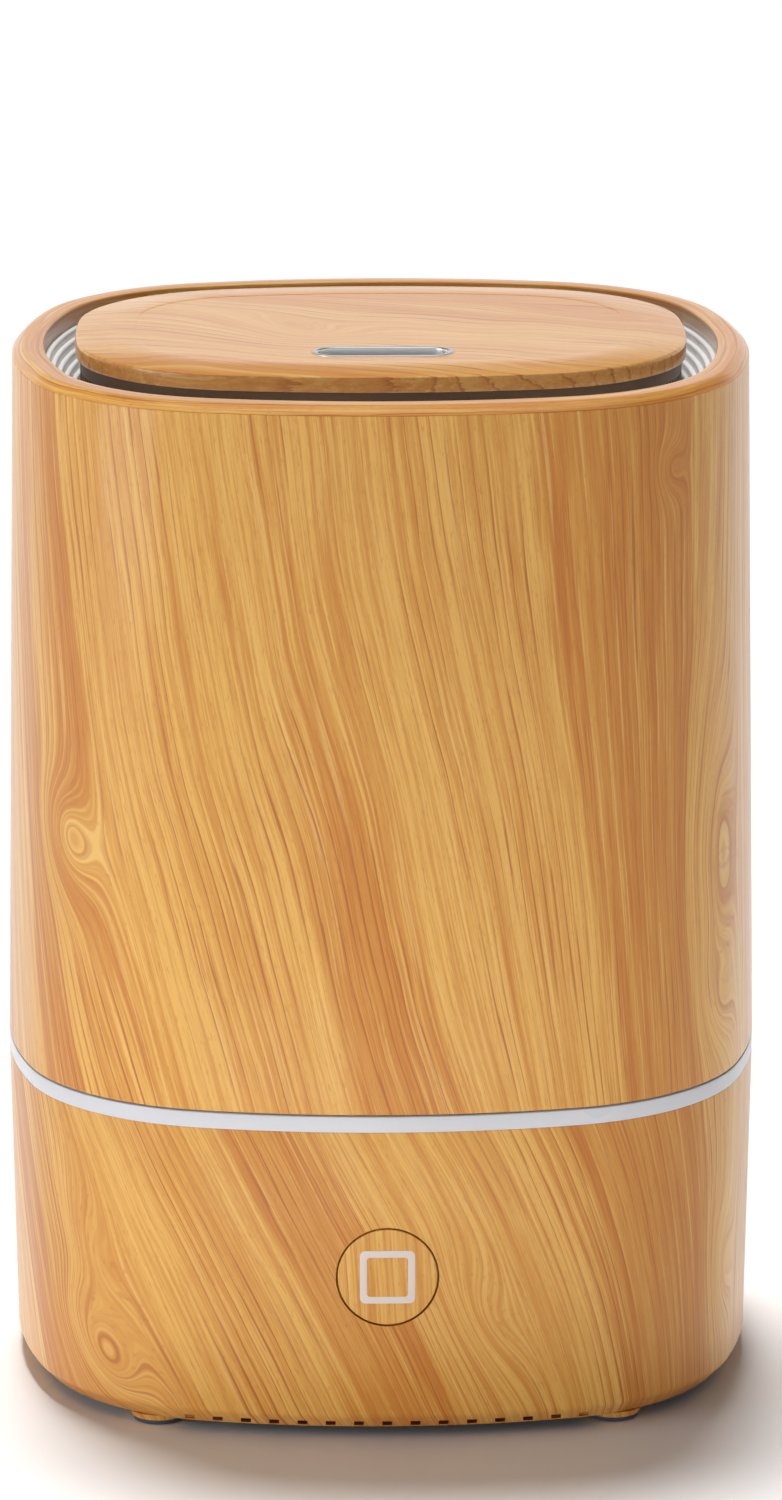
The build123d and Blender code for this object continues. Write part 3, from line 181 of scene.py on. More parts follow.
def rounded(corners):
    """A closed profile with eased corners: row (inset, height, ease) is a corner and the length cut off
    each side of it; a parabola with the corner as its control point joins the two cuts.  Each corner
    becomes CORNER_ROWS points."""
    table = np.array(corners, float)
    spots, ease = table[:, :2], table[:, 2:]
    back = np.roll(spots, 1, 0) - spots
    ahead = np.roll(spots, -1, 0) - spots
    start = spots + ease * back / np.linalg.norm(back, axis=1, keepdims=True)
    end = spots + ease * ahead / np.linalg.norm(ahead, axis=1, keepdims=True)
    t = np.linspace(0, 1, CORNER_ROWS)[:, None, None]
    curve = (1 - t) ** 2 * start + 2 * t * (1 - t) * spots + t**2 * end
    return curve.transpose(1, 0, 2).reshape(-1, 2)


def grid(points, film, wrap_rows=False, finish=0):
    """Quads over rows of points whose last column joins the first.  film gives each corner's place on
    the printed film, with one column more than the points, and one row more when the rows wrap too."""
    rows, columns = points.shape[:2]
    index = np.arange(rows * columns).reshape(rows, columns)
    index = np.hstack([index, index[:, :1]])
    if wrap_rows:
        index = np.vstack([index, index[:1]])
    faces = np.stack([index[:-1, :-1], index[:-1, 1:], index[1:, 1:], index[1:, :-1]], -1)
    corners = np.stack([film[:-1, :-1], film[:-1, 1:], film[1:, 1:], film[1:, :-1]], 2)
    finishes = np.broadcast_to(np.asarray(finish).reshape(-1, 1), faces.shape[:2])
    return points.reshape(-1, 3), faces.reshape(-1, 4), corners.reshape(-1, 4, 2), finishes.ravel()


def plain_grid(rows):
    """Quads over rows of points that wrap both ways, with no place on a printed film."""
    points = np.stack(rows)
    film = np.zeros((len(points) + 1, points.shape[1] + 1, 2))
    return grid(points, film, True)


def swept(line, profile, outer_rows=None, by_girth=False):
    """A closed profile of (inset, height) carried round an outline: each point is its arc's centre +
    (radius - inset) * normal, at its height.  The film coordinate is the length round the outline and,
    up it, the height or the length of the profile so far.  The first outer_rows rows of the profile
    take the first finish and the rest the second; without a number all take the first."""
    inset, height = profile[:, 0], profile[:, 1]
    flat = line.centres + (line.radii - inset[:, None])[:, :, None] * line.normals
    tall = np.broadcast_to(height[:, None, None], flat.shape[:2] + (1,))
    steps = np.linalg.norm(np.roll(profile, -1, 0) - profile, axis=1)
    up = np.concatenate([[0], np.cumsum(steps)]) if by_girth else np.append(height, height[0])
    film = np.stack(np.meshgrid(line.along, up), -1)
    finish = 0 if outer_rows is None else (np.arange(len(profile)) >= outer_rows).astype(int)
    return grid(np.concatenate([flat, tall], 2), film, True, finish)


def turned(spot, profile, count=48):
    """A lathe-turned solid of (radius, height) rows, from the bottom pole to the top one: each point is
    spot + radius * (cos a, sin a), at its height."""
    radius, height = np.array(profile, float).T
    angle = np.linspace(0, 2 * math.pi, count, endpoint=False)
    x = spot[0] + radius[:, None] * np.cos(angle)
    y = spot[1] + radius[:, None] * np.sin(angle)
    points = np.stack([x, y, np.broadcast_to(height[:, None], x.shape)], -1)
    film = np.stack(np.meshgrid(np.append(angle, 2 * math.pi) * radius.max(), height), -1)
    return grid(points, film)


CREASE = 32


def make_piece(name, grids, body, finishes, nodes, crease=CREASE):
    """Joins grids into one closed mesh, smooth up to the crease angle in degrees, rides it on its body
    and has it stand for its CAD nodes."""
    starts = np.cumsum([0] + [len(g[0]) for g in grids[:-1]])
    mesh = bpy.data.meshes.new(name)
    points = np.concatenate([g[0] for g in grids])
    faces = np.concatenate([g[1] + start for g, start in zip(grids, starts)])
    mesh.from_pydata(points, [], faces)
    film = mesh.uv_layers.new(name="film")
    film.data.foreach_set("uv", np.concatenate([g[2] for g in grids]).ravel())
    mesh.polygons.foreach_set("material_index", np.concatenate([g[3] for g in grids]).astype(np.int32))
    close(mesh)
    mesh.shade_smooth()
    mesh.set_sharp_from_angle(angle=math.radians(crease))
    piece = bpy.data.objects.new(name, mesh)
    bpy.context.scene.collection.objects.link(piece)
    for finish in finishes:
        mesh.materials.append(finish)
    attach(piece, body)
    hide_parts(*nodes)
    return piece


MERGE_DISTANCE = 1e-7


def close(mesh):
    """Merges points that share a place, so that poles and thin rows close."""
    shape = bmesh.new()
    shape.from_mesh(mesh)
    bmesh.ops.remove_doubles(shape, verts=shape.verts, dist=MERGE_DISTANCE)
    shape.to_mesh(mesh)
    shape.free()


# ---------------------------------------------------------------- shader helpers


def feed(tree, value, socket):
    """Links a socket, or sets a plain value."""
    if isinstance(value, bpy.types.NodeSocket):
        tree.links.new(value, socket)
    else:
        socket.default_value = value


def add_node(tree, kind, inputs=(), **settings):
    """One shader node: settings are its own properties, inputs maps socket names or places to values."""
    made = tree.nodes.new("ShaderNode" + kind)
    for key, value in settings.items():
        setattr(made, key, value)
    for key, value in dict(inputs).items():
        feed(tree, value, made.inputs[key])
    return made


def sums(tree, operation, *values):
    """One Math node's result."""
    return add_node(tree, "Math", enumerate(values), operation=operation).outputs[0]


def vectors(tree, operation, *values):
    """One Vector Math node's result: the number for a dot product, else the vector."""
    made = add_node(tree, "VectorMath", enumerate(values), operation=operation)
    return made.outputs["Value"] if operation == "DOT_PRODUCT" else made.outputs["Vector"]


def scaled(tree, vector, factor):
    """A vector times a number."""
    return add_node(tree, "VectorMath", {0: vector, "Scale": factor}, operation="SCALE").outputs[0]


def noise(tree, place, scale, detail=2.0, roughness=0.5):
    """A noise value around one half."""
    inputs = {"Vector": place, "Scale": scale, "Detail": detail, "Roughness": roughness}
    return add_node(tree, "TexNoise", inputs).outputs[0]


def fade(tree, value, low, high):
    """0 below low, 1 above high, eased between."""
    inputs = {"Value": value, "From Min": low, "From Max": high}
    return add_node(tree, "MapRange", inputs, interpolation_type="SMOOTHSTEP").outputs[0]


def blended(tree, factor, first, second, how="MIX"):
    """Two colours mixed."""
    made = add_node(tree, "Mix", {0: factor, 6: first, 7: second}, data_type="RGBA", blend_type=how)
    return made.outputs[2]


def ramp(tree, value, stops):
    """A colour from a row of (place, colour) stops."""
    made = add_node(tree, "ValToRGB", {0: value})
    points = made.color_ramp.elements
    while len(points) < len(stops):
        points.new(0.5)
    for point, (place, colour) in zip(points, stops):
        point.position = place
        point.color = colour
    return made.outputs[0]


def apart(tree, vector):
    """The three numbers of a vector."""
    return add_node(tree, "SeparateXYZ", {0: vector}).outputs


def together(tree, x=0.0, y=0.0, z=0.0):
    """A vector of three numbers."""
    return add_node(tree, "CombineXYZ", {0: x, 1: y, 2: z}).outputs[0]


def tint(red, green, blue):
    """A screen colour of 0 to 255 as scene-linear values."""
    share = np.array([red, green, blue]) / 255
    linear = np.where(share <= 0.04045, share / 12.92, ((share + 0.055) / 1.055) ** 2.4)
    return (*linear.tolist(), 1.0)


def new_group(name, inputs, outputs):
    """An empty node group with named sockets; returns the tree, its inputs and its output node."""
    tree = bpy.data.node_groups.new(name, "ShaderNodeTree")
    for label, kind in inputs:
        tree.interface.new_socket(label, in_out="INPUT", socket_type="NodeSocket" + kind)
    for label, kind in outputs:
        tree.interface.new_socket(label, in_out="OUTPUT", socket_type="NodeSocket" + kind)
    return tree, tree.nodes.new("NodeGroupInput").outputs, tree.nodes.new("NodeGroupOutput").inputs


def use_group(tree, group, **values):
    """Places a group in a tree; a name's underscores stand for spaces."""
    made = tree.nodes.new("ShaderNodeGroup")
    made.node_tree = group
    for key, value in values.items():
        feed(tree, value, made.inputs[key.replace("_", " ")])
    return made.outputs


def new_material(name, roughness=0.4, **settings):
    """A material with one Principled shader; settings are its sockets' plain values."""
    material = bpy.data.materials.new(name)
    material.use_nodes = True
    tree = material.node_tree
    shader = tree.nodes["Principled BSDF"]
    shader.inputs["Roughness"].default_value = roughness
    for key, value in settings.items():
        shader.inputs[key.replace("_", " ")].default_value = value
    return material, tree, shader


def add_bump(tree, shader, height, strength, distance):
    """Feeds a height to the shader's normal."""
    bump = add_node(tree, "Bump", {"Height": height, "Strength": strength, "Distance": distance})
    tree.links.new(bump.outputs[0], shader.inputs["Normal"])


# ---------------------------------------------------------------- wood print


LEAN_END_LEFT = -0.30
LEAN_START_LEFT = -0.14
DRIFT_SCALES = (10.0, 7.0)
RIPPLE_SCALES = (45.0, 22.0)
RIPPLE_SHARE = 0.16


def build_slant():
    """Leans the grain: takes slope * drop + bend * drop^2 from the place across the film, where drop is
    how far below the start height it lies.  The lean fades out towards the right, and round the left
    side towards the back, and a slow drift with a quicker ripple on it lets the grain wander."""
    tree, given, out = new_group(
        "grain slant",
        [("Film", "Vector"), ("Start Height", "Float"), ("Slope", "Float"), ("Bend", "Float"),
         ("Fade Start", "Float"), ("Fade End", "Float"), ("Wander", "Float")],
        [("Film", "Vector")],
    )
    across, height, _ = apart(tree, given["Film"])
    drop = sums(tree, "SUBTRACT", given["Start Height"], height)
    curve = sums(tree, "MULTIPLY_ADD", given["Bend"], drop, given["Slope"])
    lean = sums(tree, "MULTIPLY", curve, drop)
    right = fade(tree, across, given["Fade End"], given["Fade Start"])
    left = fade(tree, across, LEAN_END_LEFT, LEAN_START_LEFT)
    lean = sums(tree, "MULTIPLY", lean, sums(tree, "MULTIPLY", right, left))
    round_it = use_group(tree, wrap_group, Film=given["Film"])

    def wander(across_scale, along_scale):
        place = vectors(
            tree, "ADD", scaled(tree, round_it["Across"], across_scale),
            scaled(tree, round_it["Along"], along_scale),
        )
        return sums(tree, "SUBTRACT", noise(tree, place, 1.0, 1.0), 0.5)

    drift = wander(*DRIFT_SCALES)
    drift = sums(tree, "MULTIPLY_ADD", wander(*RIPPLE_SCALES), RIPPLE_SHARE, drift)
    lean = sums(tree, "MULTIPLY_ADD", drift, given["Wander"], lean)
    tree.links.new(together(tree, sums(tree, "SUBTRACT", across, lean), height), out["Film"])
    return tree


def build_wrap():
    """Rolls the flat film round a circle as long as the body's girth, so that the pattern meets itself
    at the back: across = R (cos a, sin a, 0) with a = place / R, along = (0, 0, height)."""
    tree, given, out = new_group(
        "film wrap", [("Film", "Vector")], [("Across", "Vector"), ("Along", "Vector"), ("Turns", "Float")]
    )
    radius = GIRTH / (2 * math.pi)
    across, height, _ = apart(tree, given["Film"])
    angle = sums(tree, "DIVIDE", across, radius)
    x = sums(tree, "MULTIPLY", sums(tree, "COSINE", angle), radius)
    y = sums(tree, "MULTIPLY", sums(tree, "SINE", angle), radius)
    tree.links.new(together(tree, x, y), out["Across"])
    tree.links.new(together(tree, z=height), out["Along"])
    tree.links.new(sums(tree, "DIVIDE", across, GIRTH), out["Turns"])
    return tree


def build_knot():
    """Pushes the grain aside round one spot: place across + push * exp(-(dx/w)^2 - (dz/h)^2).  A push of
    more than 1.2 times the width closes the lines into rings."""
    tree, given, out = new_group(
        "knot",
        [("Film", "Vector"), ("Spot", "Vector"), ("Size", "Vector"), ("Push", "Float")],
        [("Film", "Vector")],
    )
    away = vectors(tree, "DIVIDE", vectors(tree, "SUBTRACT", given["Film"], given["Spot"]), given["Size"])
    near = sums(tree, "EXPONENT", sums(tree, "MULTIPLY", vectors(tree, "DOT_PRODUCT", away, away), -1.0))
    shift = together(tree, sums(tree, "MULTIPLY", near, given["Push"]))
    tree.links.new(vectors(tree, "ADD", given["Film"], shift), out["Film"])
    return tree


def build_timber():
    """Timber figure from five layers of stretched noise, broad bands to fine fibres, and ring lines
    that darken slowly and end sharply.  Each layer is noise at Across + k * Along."""
    tree, given, out = new_group(
        "timber figure",
        [("Across", "Vector"), ("Along", "Vector"), ("Rings", "Float")],
        [("Tone", "Float"), ("Ring Line", "Float"), ("Pale Strand", "Float"), ("Fleck", "Float")],
    )

    def layer(scale, stretch, detail=2.0, rough=0.5):
        place = vectors(tree, "ADD", given["Across"], scaled(tree, given["Along"], stretch))
        return noise(tree, place, scale, detail, rough)

    broad = layer(34, 0.055, 1.5, 0.45)
    middle = layer(120, 0.035, 2.0, 0.5)
    strand = layer(430, 0.026, 2.5, 0.65)
    hair = layer(1500, 0.018, 2.5, 0.7)
    fibre = layer(3600, 0.035, 1.0, 0.6)
    ragged = sums(tree, "MULTIPLY_ADD", sums(tree, "SUBTRACT", strand, 0.5), 0.30, broad)
    broad_band = fade(tree, ragged, 0.44, 0.56)
    ragged = sums(tree, "MULTIPLY_ADD", sums(tree, "SUBTRACT", hair, 0.5), 0.22, middle)
    middle_band = fade(tree, ragged, 0.40, 0.60)
    wave = sums(tree, "MULTIPLY_ADD", broad, 5.0, given["Rings"])
    wave = sums(tree, "MULTIPLY_ADD", strand, 0.5, wave)
    wave = sums(tree, "MULTIPLY_ADD", hair, 0.45, wave)
    ring = sums(tree, "FRACT", wave)
    line = sums(tree, "MULTIPLY", fade(tree, ring, 0.80, 0.93), fade(tree, ring, 1.0, 0.965))
    shown = fade(tree, layer(70, 0.16), 0.44, 0.60)
    tone = sums(tree, "MULTIPLY", broad_band, 0.34)
    tone = sums(tree, "MULTIPLY_ADD", middle_band, 0.15, tone)
    tone = sums(tree, "MULTIPLY_ADD", fade(tree, strand, 0.34, 0.66), 0.22, tone)
    tone = sums(tree, "MULTIPLY_ADD", fade(tree, hair, 0.34, 0.66), 0.26, tone)
    tone = sums(tree, "MULTIPLY_ADD", fade(tree, fibre, 0.3, 0.7), 0.12, tone)
    tone = sums(tree, "MULTIPLY_ADD", sums(tree, "POWER", ring, 2.0), -0.12, tone)
    tree.links.new(sums(tree, "ADD", tone, 0.03), out["Tone"])
    tree.links.new(sums(tree, "MULTIPLY", line, shown), out["Ring Line"])
    tree.links.new(fade(tree, layer(900, 0.016), 0.58, 0.68), out["Pale Strand"])
    tree.links.new(fade(tree, layer(2400, 0.16), 0.58, 0.70), out["Fleck"])
    return tree


wrap_group = build_wrap()
slant_group = build_slant()
knot_group = build_knot()
timber_group = build_timber()

RING_COUNT = 190
WOOD_GLOSS = {"Specular_IOR_Level": 0.25, "Coat_Weight": 0.4, "Coat_IOR": 1.4, "Coat_Roughness": 0.14}
LID_GLOSS = {"Specular_IOR_Level": 0.5, "Coat_Weight": 0.6, "Coat_IOR": 1.45, "Coat_Roughness": 0.16}
WOOD_STOPS = [
    (0.08, tint(194, 117, 46)),
    (0.30, tint(204, 133, 55)),
    (0.50, tint(211, 146, 65)),
    (0.70, tint(220, 161, 78)),
    (0.92, tint(232, 180, 95)),
]
LID_STOPS = [
    (0.10, tint(203, 131, 56)),
    (0.50, tint(213, 148, 68)),
    (0.90, tint(224, 167, 88)),
]
LINE_TINT = tint(176, 98, 38)
PALE_TINT = tint(240, 196, 118)


def wood_finish(tree, shader, figure, stops=WOOD_STOPS):
    """Colours the figure and gives it a faint relief under the gloss."""
    colour = ramp(tree, figure["Tone"], stops)
    colour = blended(tree, sums(tree, "MULTIPLY", figure["Pale Strand"], 0.45), colour, PALE_TINT)
    colour = blended(tree, sums(tree, "MULTIPLY", figure["Ring Line"], 0.85), colour, LINE_TINT)
    colour = blended(tree, sums(tree, "MULTIPLY", figure["Fleck"], 0.28), colour, LINE_TINT)
    tree.links.new(colour, shader.inputs["Base Color"])
    rough = add_node(tree, "MapRange", {"Value": figure["Tone"], "To Min": 0.44, "To Max": 0.36})
    tree.links.new(rough.outputs[0], shader.inputs["Roughness"])
    height = sums(tree, "MULTIPLY_ADD", figure["Fleck"], -0.6, figure["Tone"])
    add_bump(tree, shader, height, 0.10, 0.05 * MM)


def leaned(spot, start, slope, bend, fade_start, fade_end):
    """Where the slant moves a film spot to: the slant group's formula without its left fade and its
    wander."""
    drop = start - spot[1]
    share = min(max((fade_end - spot[0]) / (fade_end - fade_start), 0), 1)
    ease = share * share * (3 - 2 * share)
    return (spot[0] - ease * drop * (slope + bend * drop), spot[1], 0)


def printed_wood(name, start, slope, bend, fades, wander, knots):
    """Wood-print film on an upright wall: the grain leans, bends round its knots and wraps the body."""
    material, tree, shader = new_material(name, **WOOD_GLOSS)
    film = add_node(tree, "UVMap", uv_map="film").outputs[0]
    film = use_group(
        tree, slant_group, Film=film, Start_Height=start, Slope=slope, Bend=bend,
        Fade_Start=fades[0], Fade_End=fades[1], Wander=wander,
    )["Film"]
    for spot, size, push in knots:
        place = leaned(spot, start, slope, bend, *fades)
        film = use_group(tree, knot_group, Film=film, Spot=place, Size=(*size, 1.0), Push=push)["Film"]
    rolled = use_group(tree, wrap_group, Film=film)
    rings = sums(tree, "MULTIPLY", rolled["Turns"], float(RING_COUNT))
    figure = use_group(tree, timber_group, Across=rolled["Across"], Along=rolled["Along"], Rings=rings)
    wood_finish(tree, shader, figure)
    return material


tank_wood = printed_wood(
    "tank wood print", tank_high.z, 0.15, 0.36, (0.020, 0.105), 0.013,
    [
        ((-0.092, 0.157), (0.011, 0.014), 0.017),
        ((-0.088, 0.150), (0.014, 0.050), 0.005),
        ((0.099, 0.112), (0.009, 0.014), 0.012),
        ((0.097, 0.150), (0.014, 0.045), 0.019),
        ((0.078, 0.256), (0.005, 0.007), 0.007),
        ((0.205, 0.190), (0.013, 0.030), 0.018),
        ((-0.215, 0.130), (0.012, 0.024), 0.016),
    ],
)
base_wood = printed_wood(
    "base wood print", base_high.z, 0.50, 0.0, (0.020, 0.130), 0.010,
    [
        ((-0.082, 0.020), (0.012, 0.015), 0.022),
        ((-0.086, 0.044), (0.012, 0.026), 0.012),
        ((0.026, 0.034), (0.009, 0.016), 0.008),
        ((0.104, 0.036), (0.010, 0.016), 0.013),
        ((0.240, 0.045), (0.013, 0.016), 0.017),
    ],
)
button_wood = printed_wood("button wood print", base_high.z, 0.05, 0.0, (0.030, 0.170), 0.006, [])


RIM_RINGS = 260.0
LID_RINGS = 200.0
LID_LEAN = 0.38
LID_KNOTS = [
    ((-0.010, -0.022), (0.010, 0.020), 0.014),
    ((0.030, 0.050), (0.012, 0.03), 0.012),
]


def rim_wood_finish():
    """Wood print with its grain running round the rim."""
    material, tree, shader = new_material("rim wood print", **LID_GLOSS)
    film = add_node(tree, "UVMap", uv_map="film").outputs[0]
    _, girth, _ = apart(tree, film)
    rolled = use_group(tree, wrap_group, Film=film)
    wander = sums(tree, "SUBTRACT", noise(tree, rolled["Across"], 22.0, 1.0), 0.5)
    across = sums(tree, "MULTIPLY_ADD", wander, 0.003, girth)
    rings = sums(tree, "MULTIPLY", across, RIM_RINGS)
    figure = use_group(
        tree, timber_group, Across=together(tree, z=across), Along=rolled["Across"], Rings=rings
    )
    wood_finish(tree, shader, figure)
    return material


def lid_wood_finish():
    """Wood print across the lid: grain mostly from left to right, leaning, with two soft swirls."""
    material, tree, shader = new_material("lid wood print", **LID_GLOSS)
    place = add_node(tree, "TexCoord").outputs["Object"]
    x, y, z = apart(tree, place)
    film = together(tree, sums(tree, "MULTIPLY_ADD", x, LID_LEAN, y), x)
    slow = sums(tree, "SUBTRACT", noise(tree, place, 14.0, 1.0), 0.5)
    film = vectors(tree, "ADD", film, together(tree, sums(tree, "MULTIPLY", slow, 0.05)))
    for spot, size, push in LID_KNOTS:
        film = use_group(tree, knot_group, Film=film, Spot=(*spot, 0), Size=(*size, 1.0), Push=push)["Film"]
    across, along, _ = apart(tree, film)
    figure = use_group(
        tree, timber_group, Across=together(tree, across, z), Along=together(tree, z=along),
        Rings=sums(tree, "MULTIPLY", across, LID_RINGS),
    )
    wood_finish(tree, shader, figure, LID_STOPS)
    return material


rim_wood = rim_wood_finish()
lid_wood = lid_wood_finish()

# ---------------------------------------------------------------- other finishes


def build_grain():
    """Fine moulded or cast surface: slow shade changes, a fine speckle and a height for the relief."""
    tree, given, out = new_group(
        "fine grain",
        [("Colour", "Color"), ("Second", "Color"), ("Scale", "Float"), ("Speckle", "Float"),
         ("Gloss", "Float")],
        [("Colour", "Color"), ("Roughness", "Float"), ("Height", "Float")],
    )
    place = tree.nodes.new("ShaderNodeTexCoord").outputs["Object"]
    slow = noise(tree, place, sums(tree, "MULTIPLY", given["Scale"], 0.02), 2.0)
    fine = noise(tree, place, given["Scale"], 3.0, 0.6)
    speckled = sums(tree, "MULTIPLY", fade(tree, fine, 0.45, 0.62), given["Speckle"])
    factor = sums(tree, "ADD", sums(tree, "MULTIPLY", fade(tree, slow, 0.3, 0.7), 0.5), speckled)
    tree.links.new(blended(tree, factor, given["Colour"], given["Second"]), out["Colour"])
    spread = sums(tree, "MULTIPLY_ADD", sums(tree, "SUBTRACT", slow, 0.5), 0.18, given["Gloss"])
    tree.links.new(spread, out["Roughness"])
    tree.links.new(fine, out["Height"])
    return tree


grain_group = build_grain()


def grained(name, colour, second, gloss, scale=1800.0, speckle=0.25, relief=0.10, **settings):
    """A plain material with fine grain in its colour, roughness and relief."""
    material, tree, shader = new_material(name, **settings)
    made = use_group(
        tree, grain_group, Colour=colour, Second=second, Scale=scale, Speckle=speckle, Gloss=gloss
    )
    tree.links.new(made["Colour"], shader.inputs["Base Color"])
    tree.links.new(made["Roughness"], shader.inputs["Roughness"])
    add_bump(tree, shader, made["Height"], relief, 0.04 * MM)
    return material


def brushed(name, colour, second, gloss, way=(1.0, 40.0, 40.0), **settings):
    """Metal with fine brushed lines along one direction."""
    material, tree, shader = new_material(name, Metallic=1.0, **settings)
    place = add_node(tree, "TexCoord").outputs["Object"]
    lines = noise(tree, vectors(tree, "MULTIPLY", place, way), 90.0, 3.0, 0.6)
    tree.links.new(blended(tree, lines, colour, second), shader.inputs["Base Color"])
    rough = sums(tree, "MULTIPLY_ADD", lines, 0.16, gloss)
    tree.links.new(rough, shader.inputs["Roughness"])
    add_bump(tree, shader, lines, 0.08, 0.02 * MM)
    return material


def board_finish():
    """Green solder mask with copper traces showing through as a lighter pattern."""
    material, tree, shader = new_material("circuit board", roughness=0.35)
    place = add_node(tree, "TexCoord").outputs["Object"]
    tracks = add_node(
        tree, "TexVoronoi", {"Vector": place, "Scale": 260.0},
        feature="DISTANCE_TO_EDGE", distance="EUCLIDEAN",
    )
    edge = fade(tree, tracks.outputs["Distance"], 0.03, 0.09)
    colour = blended(tree, edge, tint(60, 150, 84), tint(18, 96, 52))
    tree.links.new(colour, shader.inputs["Base Color"])
    add_bump(tree, shader, edge, 0.2, 0.03 * MM)
    return material


white_plastic = grained("white moulded plastic", tint(238, 238, 236), tint(226, 226, 225), 0.34)
inner_white = grained("white inside wall", tint(236, 235, 231), tint(224, 223, 220), 0.42)
dark_plastic = grained("dark brown plastic", tint(98, 72, 48), tint(70, 50, 34), 0.42, speckle=0.35)
diffuser = grained(
    "light ring diffuser", tint(216, 217, 221), tint(206, 207, 212), 0.30,
    speckle=0.15, relief=0.04, Coat_Weight=0.2,
)
silver_ink = grained(
    "indicator silver", tint(228, 216, 210), tint(218, 206, 200), 0.34, speckle=0.2, relief=0.05
)
bright_metal = brushed("bright metal", tint(246, 245, 243), tint(232, 231, 230), 0.22)
steel = brushed("zinc plated steel", tint(190, 192, 196), tint(160, 162, 168), 0.24)
aluminium = brushed("aluminium", tint(206, 208, 210), tint(182, 184, 188), 0.30)
brass = brushed("sintered bronze", tint(198, 160, 96), tint(168, 130, 74), 0.32)
copper = brushed("copper winding", tint(196, 112, 62), tint(150, 78, 40), 0.26, way=(20.0, 20.0, 300.0))
circuit_board = board_finish()
black_part = grained("black component", tint(40, 40, 43), tint(26, 26, 29), 0.45, speckle=0.4)
phosphor = grained("lamp phosphor", tint(244, 236, 190), tint(238, 220, 160), 0.3, speckle=0.3)
rubber = grained(
    "foot rubber", tint(74, 78, 90), tint(58, 62, 72), 0.72, scale=2600.0, speckle=0.5, relief=0.3
)
silicone = grained("silicone", tint(226, 227, 224), tint(210, 212, 210), 0.5, speckle=0.2)

# The finish that the CAD nodes of each material slot carry.
NODE_FINISHES = {
    "dark_plastic": dark_plastic,
    "white_plastic": white_plastic,
    "bright_metal": bright_metal,
    "steel": steel,
    "aluminium": aluminium,
    "brass": brass,
    "copper_coil": copper,
    "circuit_board": circuit_board,
    "black_component": black_part,
    "led": phosphor,
    "rubber": rubber,
    "silicone": silicone,
    "wood_print": base_wood,
    "wood_rim": rim_wood,
    "wood_lid": lid_wood,
    "light_diffuser": diffuser,
    "indicator_silver": silver_ink,
}
for row in frame["record"]["subparts"]:
    carried = frame["nodes"][row["node"]]
    carried.data.materials.clear()
    carried.data.materials.append(NODE_FINISHES[row["material_slot"]])

# ---------------------------------------------------------------- base


def base_inset(z):
    """How far the base's outside has drawn in below its top edge."""
    return BASE_TAPER * (base_high.z - z) / (base_high.z - base_bend_z)


def shell_y(x, z):
    """Y of the base's outside at x and z, on the front arc."""
    return FRONT_RADIUS - half_depth - np.sqrt((FRONT_RADIUS - base_inset(z)) ** 2 - x**2)


def prism(corners_low, corners_high):
    """A closed block between two matching rings of points, for cutting."""
    count = len(corners_low)
    points = np.concatenate([corners_low, corners_high])
    near = np.arange(count)
    far = np.roll(near, -1)
    sides = [tuple(row) for row in np.stack([near, far, far + count, near + count], 1)]
    return points, sides + [tuple(near[::-1]), tuple(near + count)]


def rod_y(radius, z, y_low, y_high, count=96):
    """A cutting cylinder along Y."""
    angle = np.linspace(0, 2 * math.pi, count, endpoint=False)
    flat = np.stack([radius * np.cos(angle), np.zeros(count), z + radius * np.sin(angle)], 1)
    return prism(flat + [0, y_high, 0], flat + [0, y_low, 0])


def block(low, high):
    """A cutting box between two corners."""
    ring = np.array([(low[0], low[1]), (high[0], low[1]), (high[0], high[1]), (low[0], high[1])])
    return prism(np.column_stack([ring, np.full(4, low[2])]), np.column_stack([ring, np.full(4, high[2])]))


VENT_PITCH = 7.4 * MM
VENT_WIDTH = 2.6 * MM
VENT_COUNT = 17
VENT_LOW = base_low.z + 0.6 * MM
VENT_TOP = base_low.z + 2.2 * MM
VENT_REACH = 13 * MM
BUTTON_HOLE = 13.5 * MM
SOCKET_HOLE = 5.7 * MM
CUT_OUTSIDE = 2 * MM
CUT_INSIDE = 8 * MM


def cut_base(piece):
    """Cuts the button hole, the socket hole and the two rows of vents out of the base shell."""
    shapes = [
        rod_y(BUTTON_HOLE, button_z, -half_depth - CUT_OUTSIDE, -half_depth + CUT_INSIDE),
        rod_y(SOCKET_HOLE, socket_z, half_depth - CUT_INSIDE, half_depth + CUT_OUTSIDE, 48),
    ]
    for i in range(VENT_COUNT):
        x = (i - (VENT_COUNT - 1) / 2) * VENT_PITCH
        for side in (-1, 1):
            y = side * half_depth
            low = (x - VENT_WIDTH / 2, y - VENT_REACH, VENT_LOW)
            shapes.append(block(low, (x + VENT_WIDTH / 2, y + VENT_REACH, VENT_TOP)))
    points, faces, start = [], [], 0
    for shape_points, shape_faces in shapes:
        points.append(shape_points)
        faces += [tuple(int(i) + start for i in face) for face in shape_faces]
        start += len(shape_points)
    mesh = bpy.data.meshes.new("base_cutter")
    mesh.from_pydata(np.concatenate(points), [], faces)
    cutter = bpy.data.objects.new("base_cutter", mesh)
    bpy.context.scene.collection.objects.link(cutter)
    cut = piece.modifiers.new("cut", "BOOLEAN")
    cut.object = cutter
    cut.operation = "DIFFERENCE"
    cut.solver = "EXACT"
    ready = piece.evaluated_get(bpy.context.evaluated_depsgraph_get())
    done = bpy.data.meshes.new_from_object(ready)
    piece.modifiers.clear()
    piece.data = done
    bpy.data.objects.remove(cutter)
    done.shade_smooth()
    done.set_sharp_from_angle(angle=math.radians(CREASE))


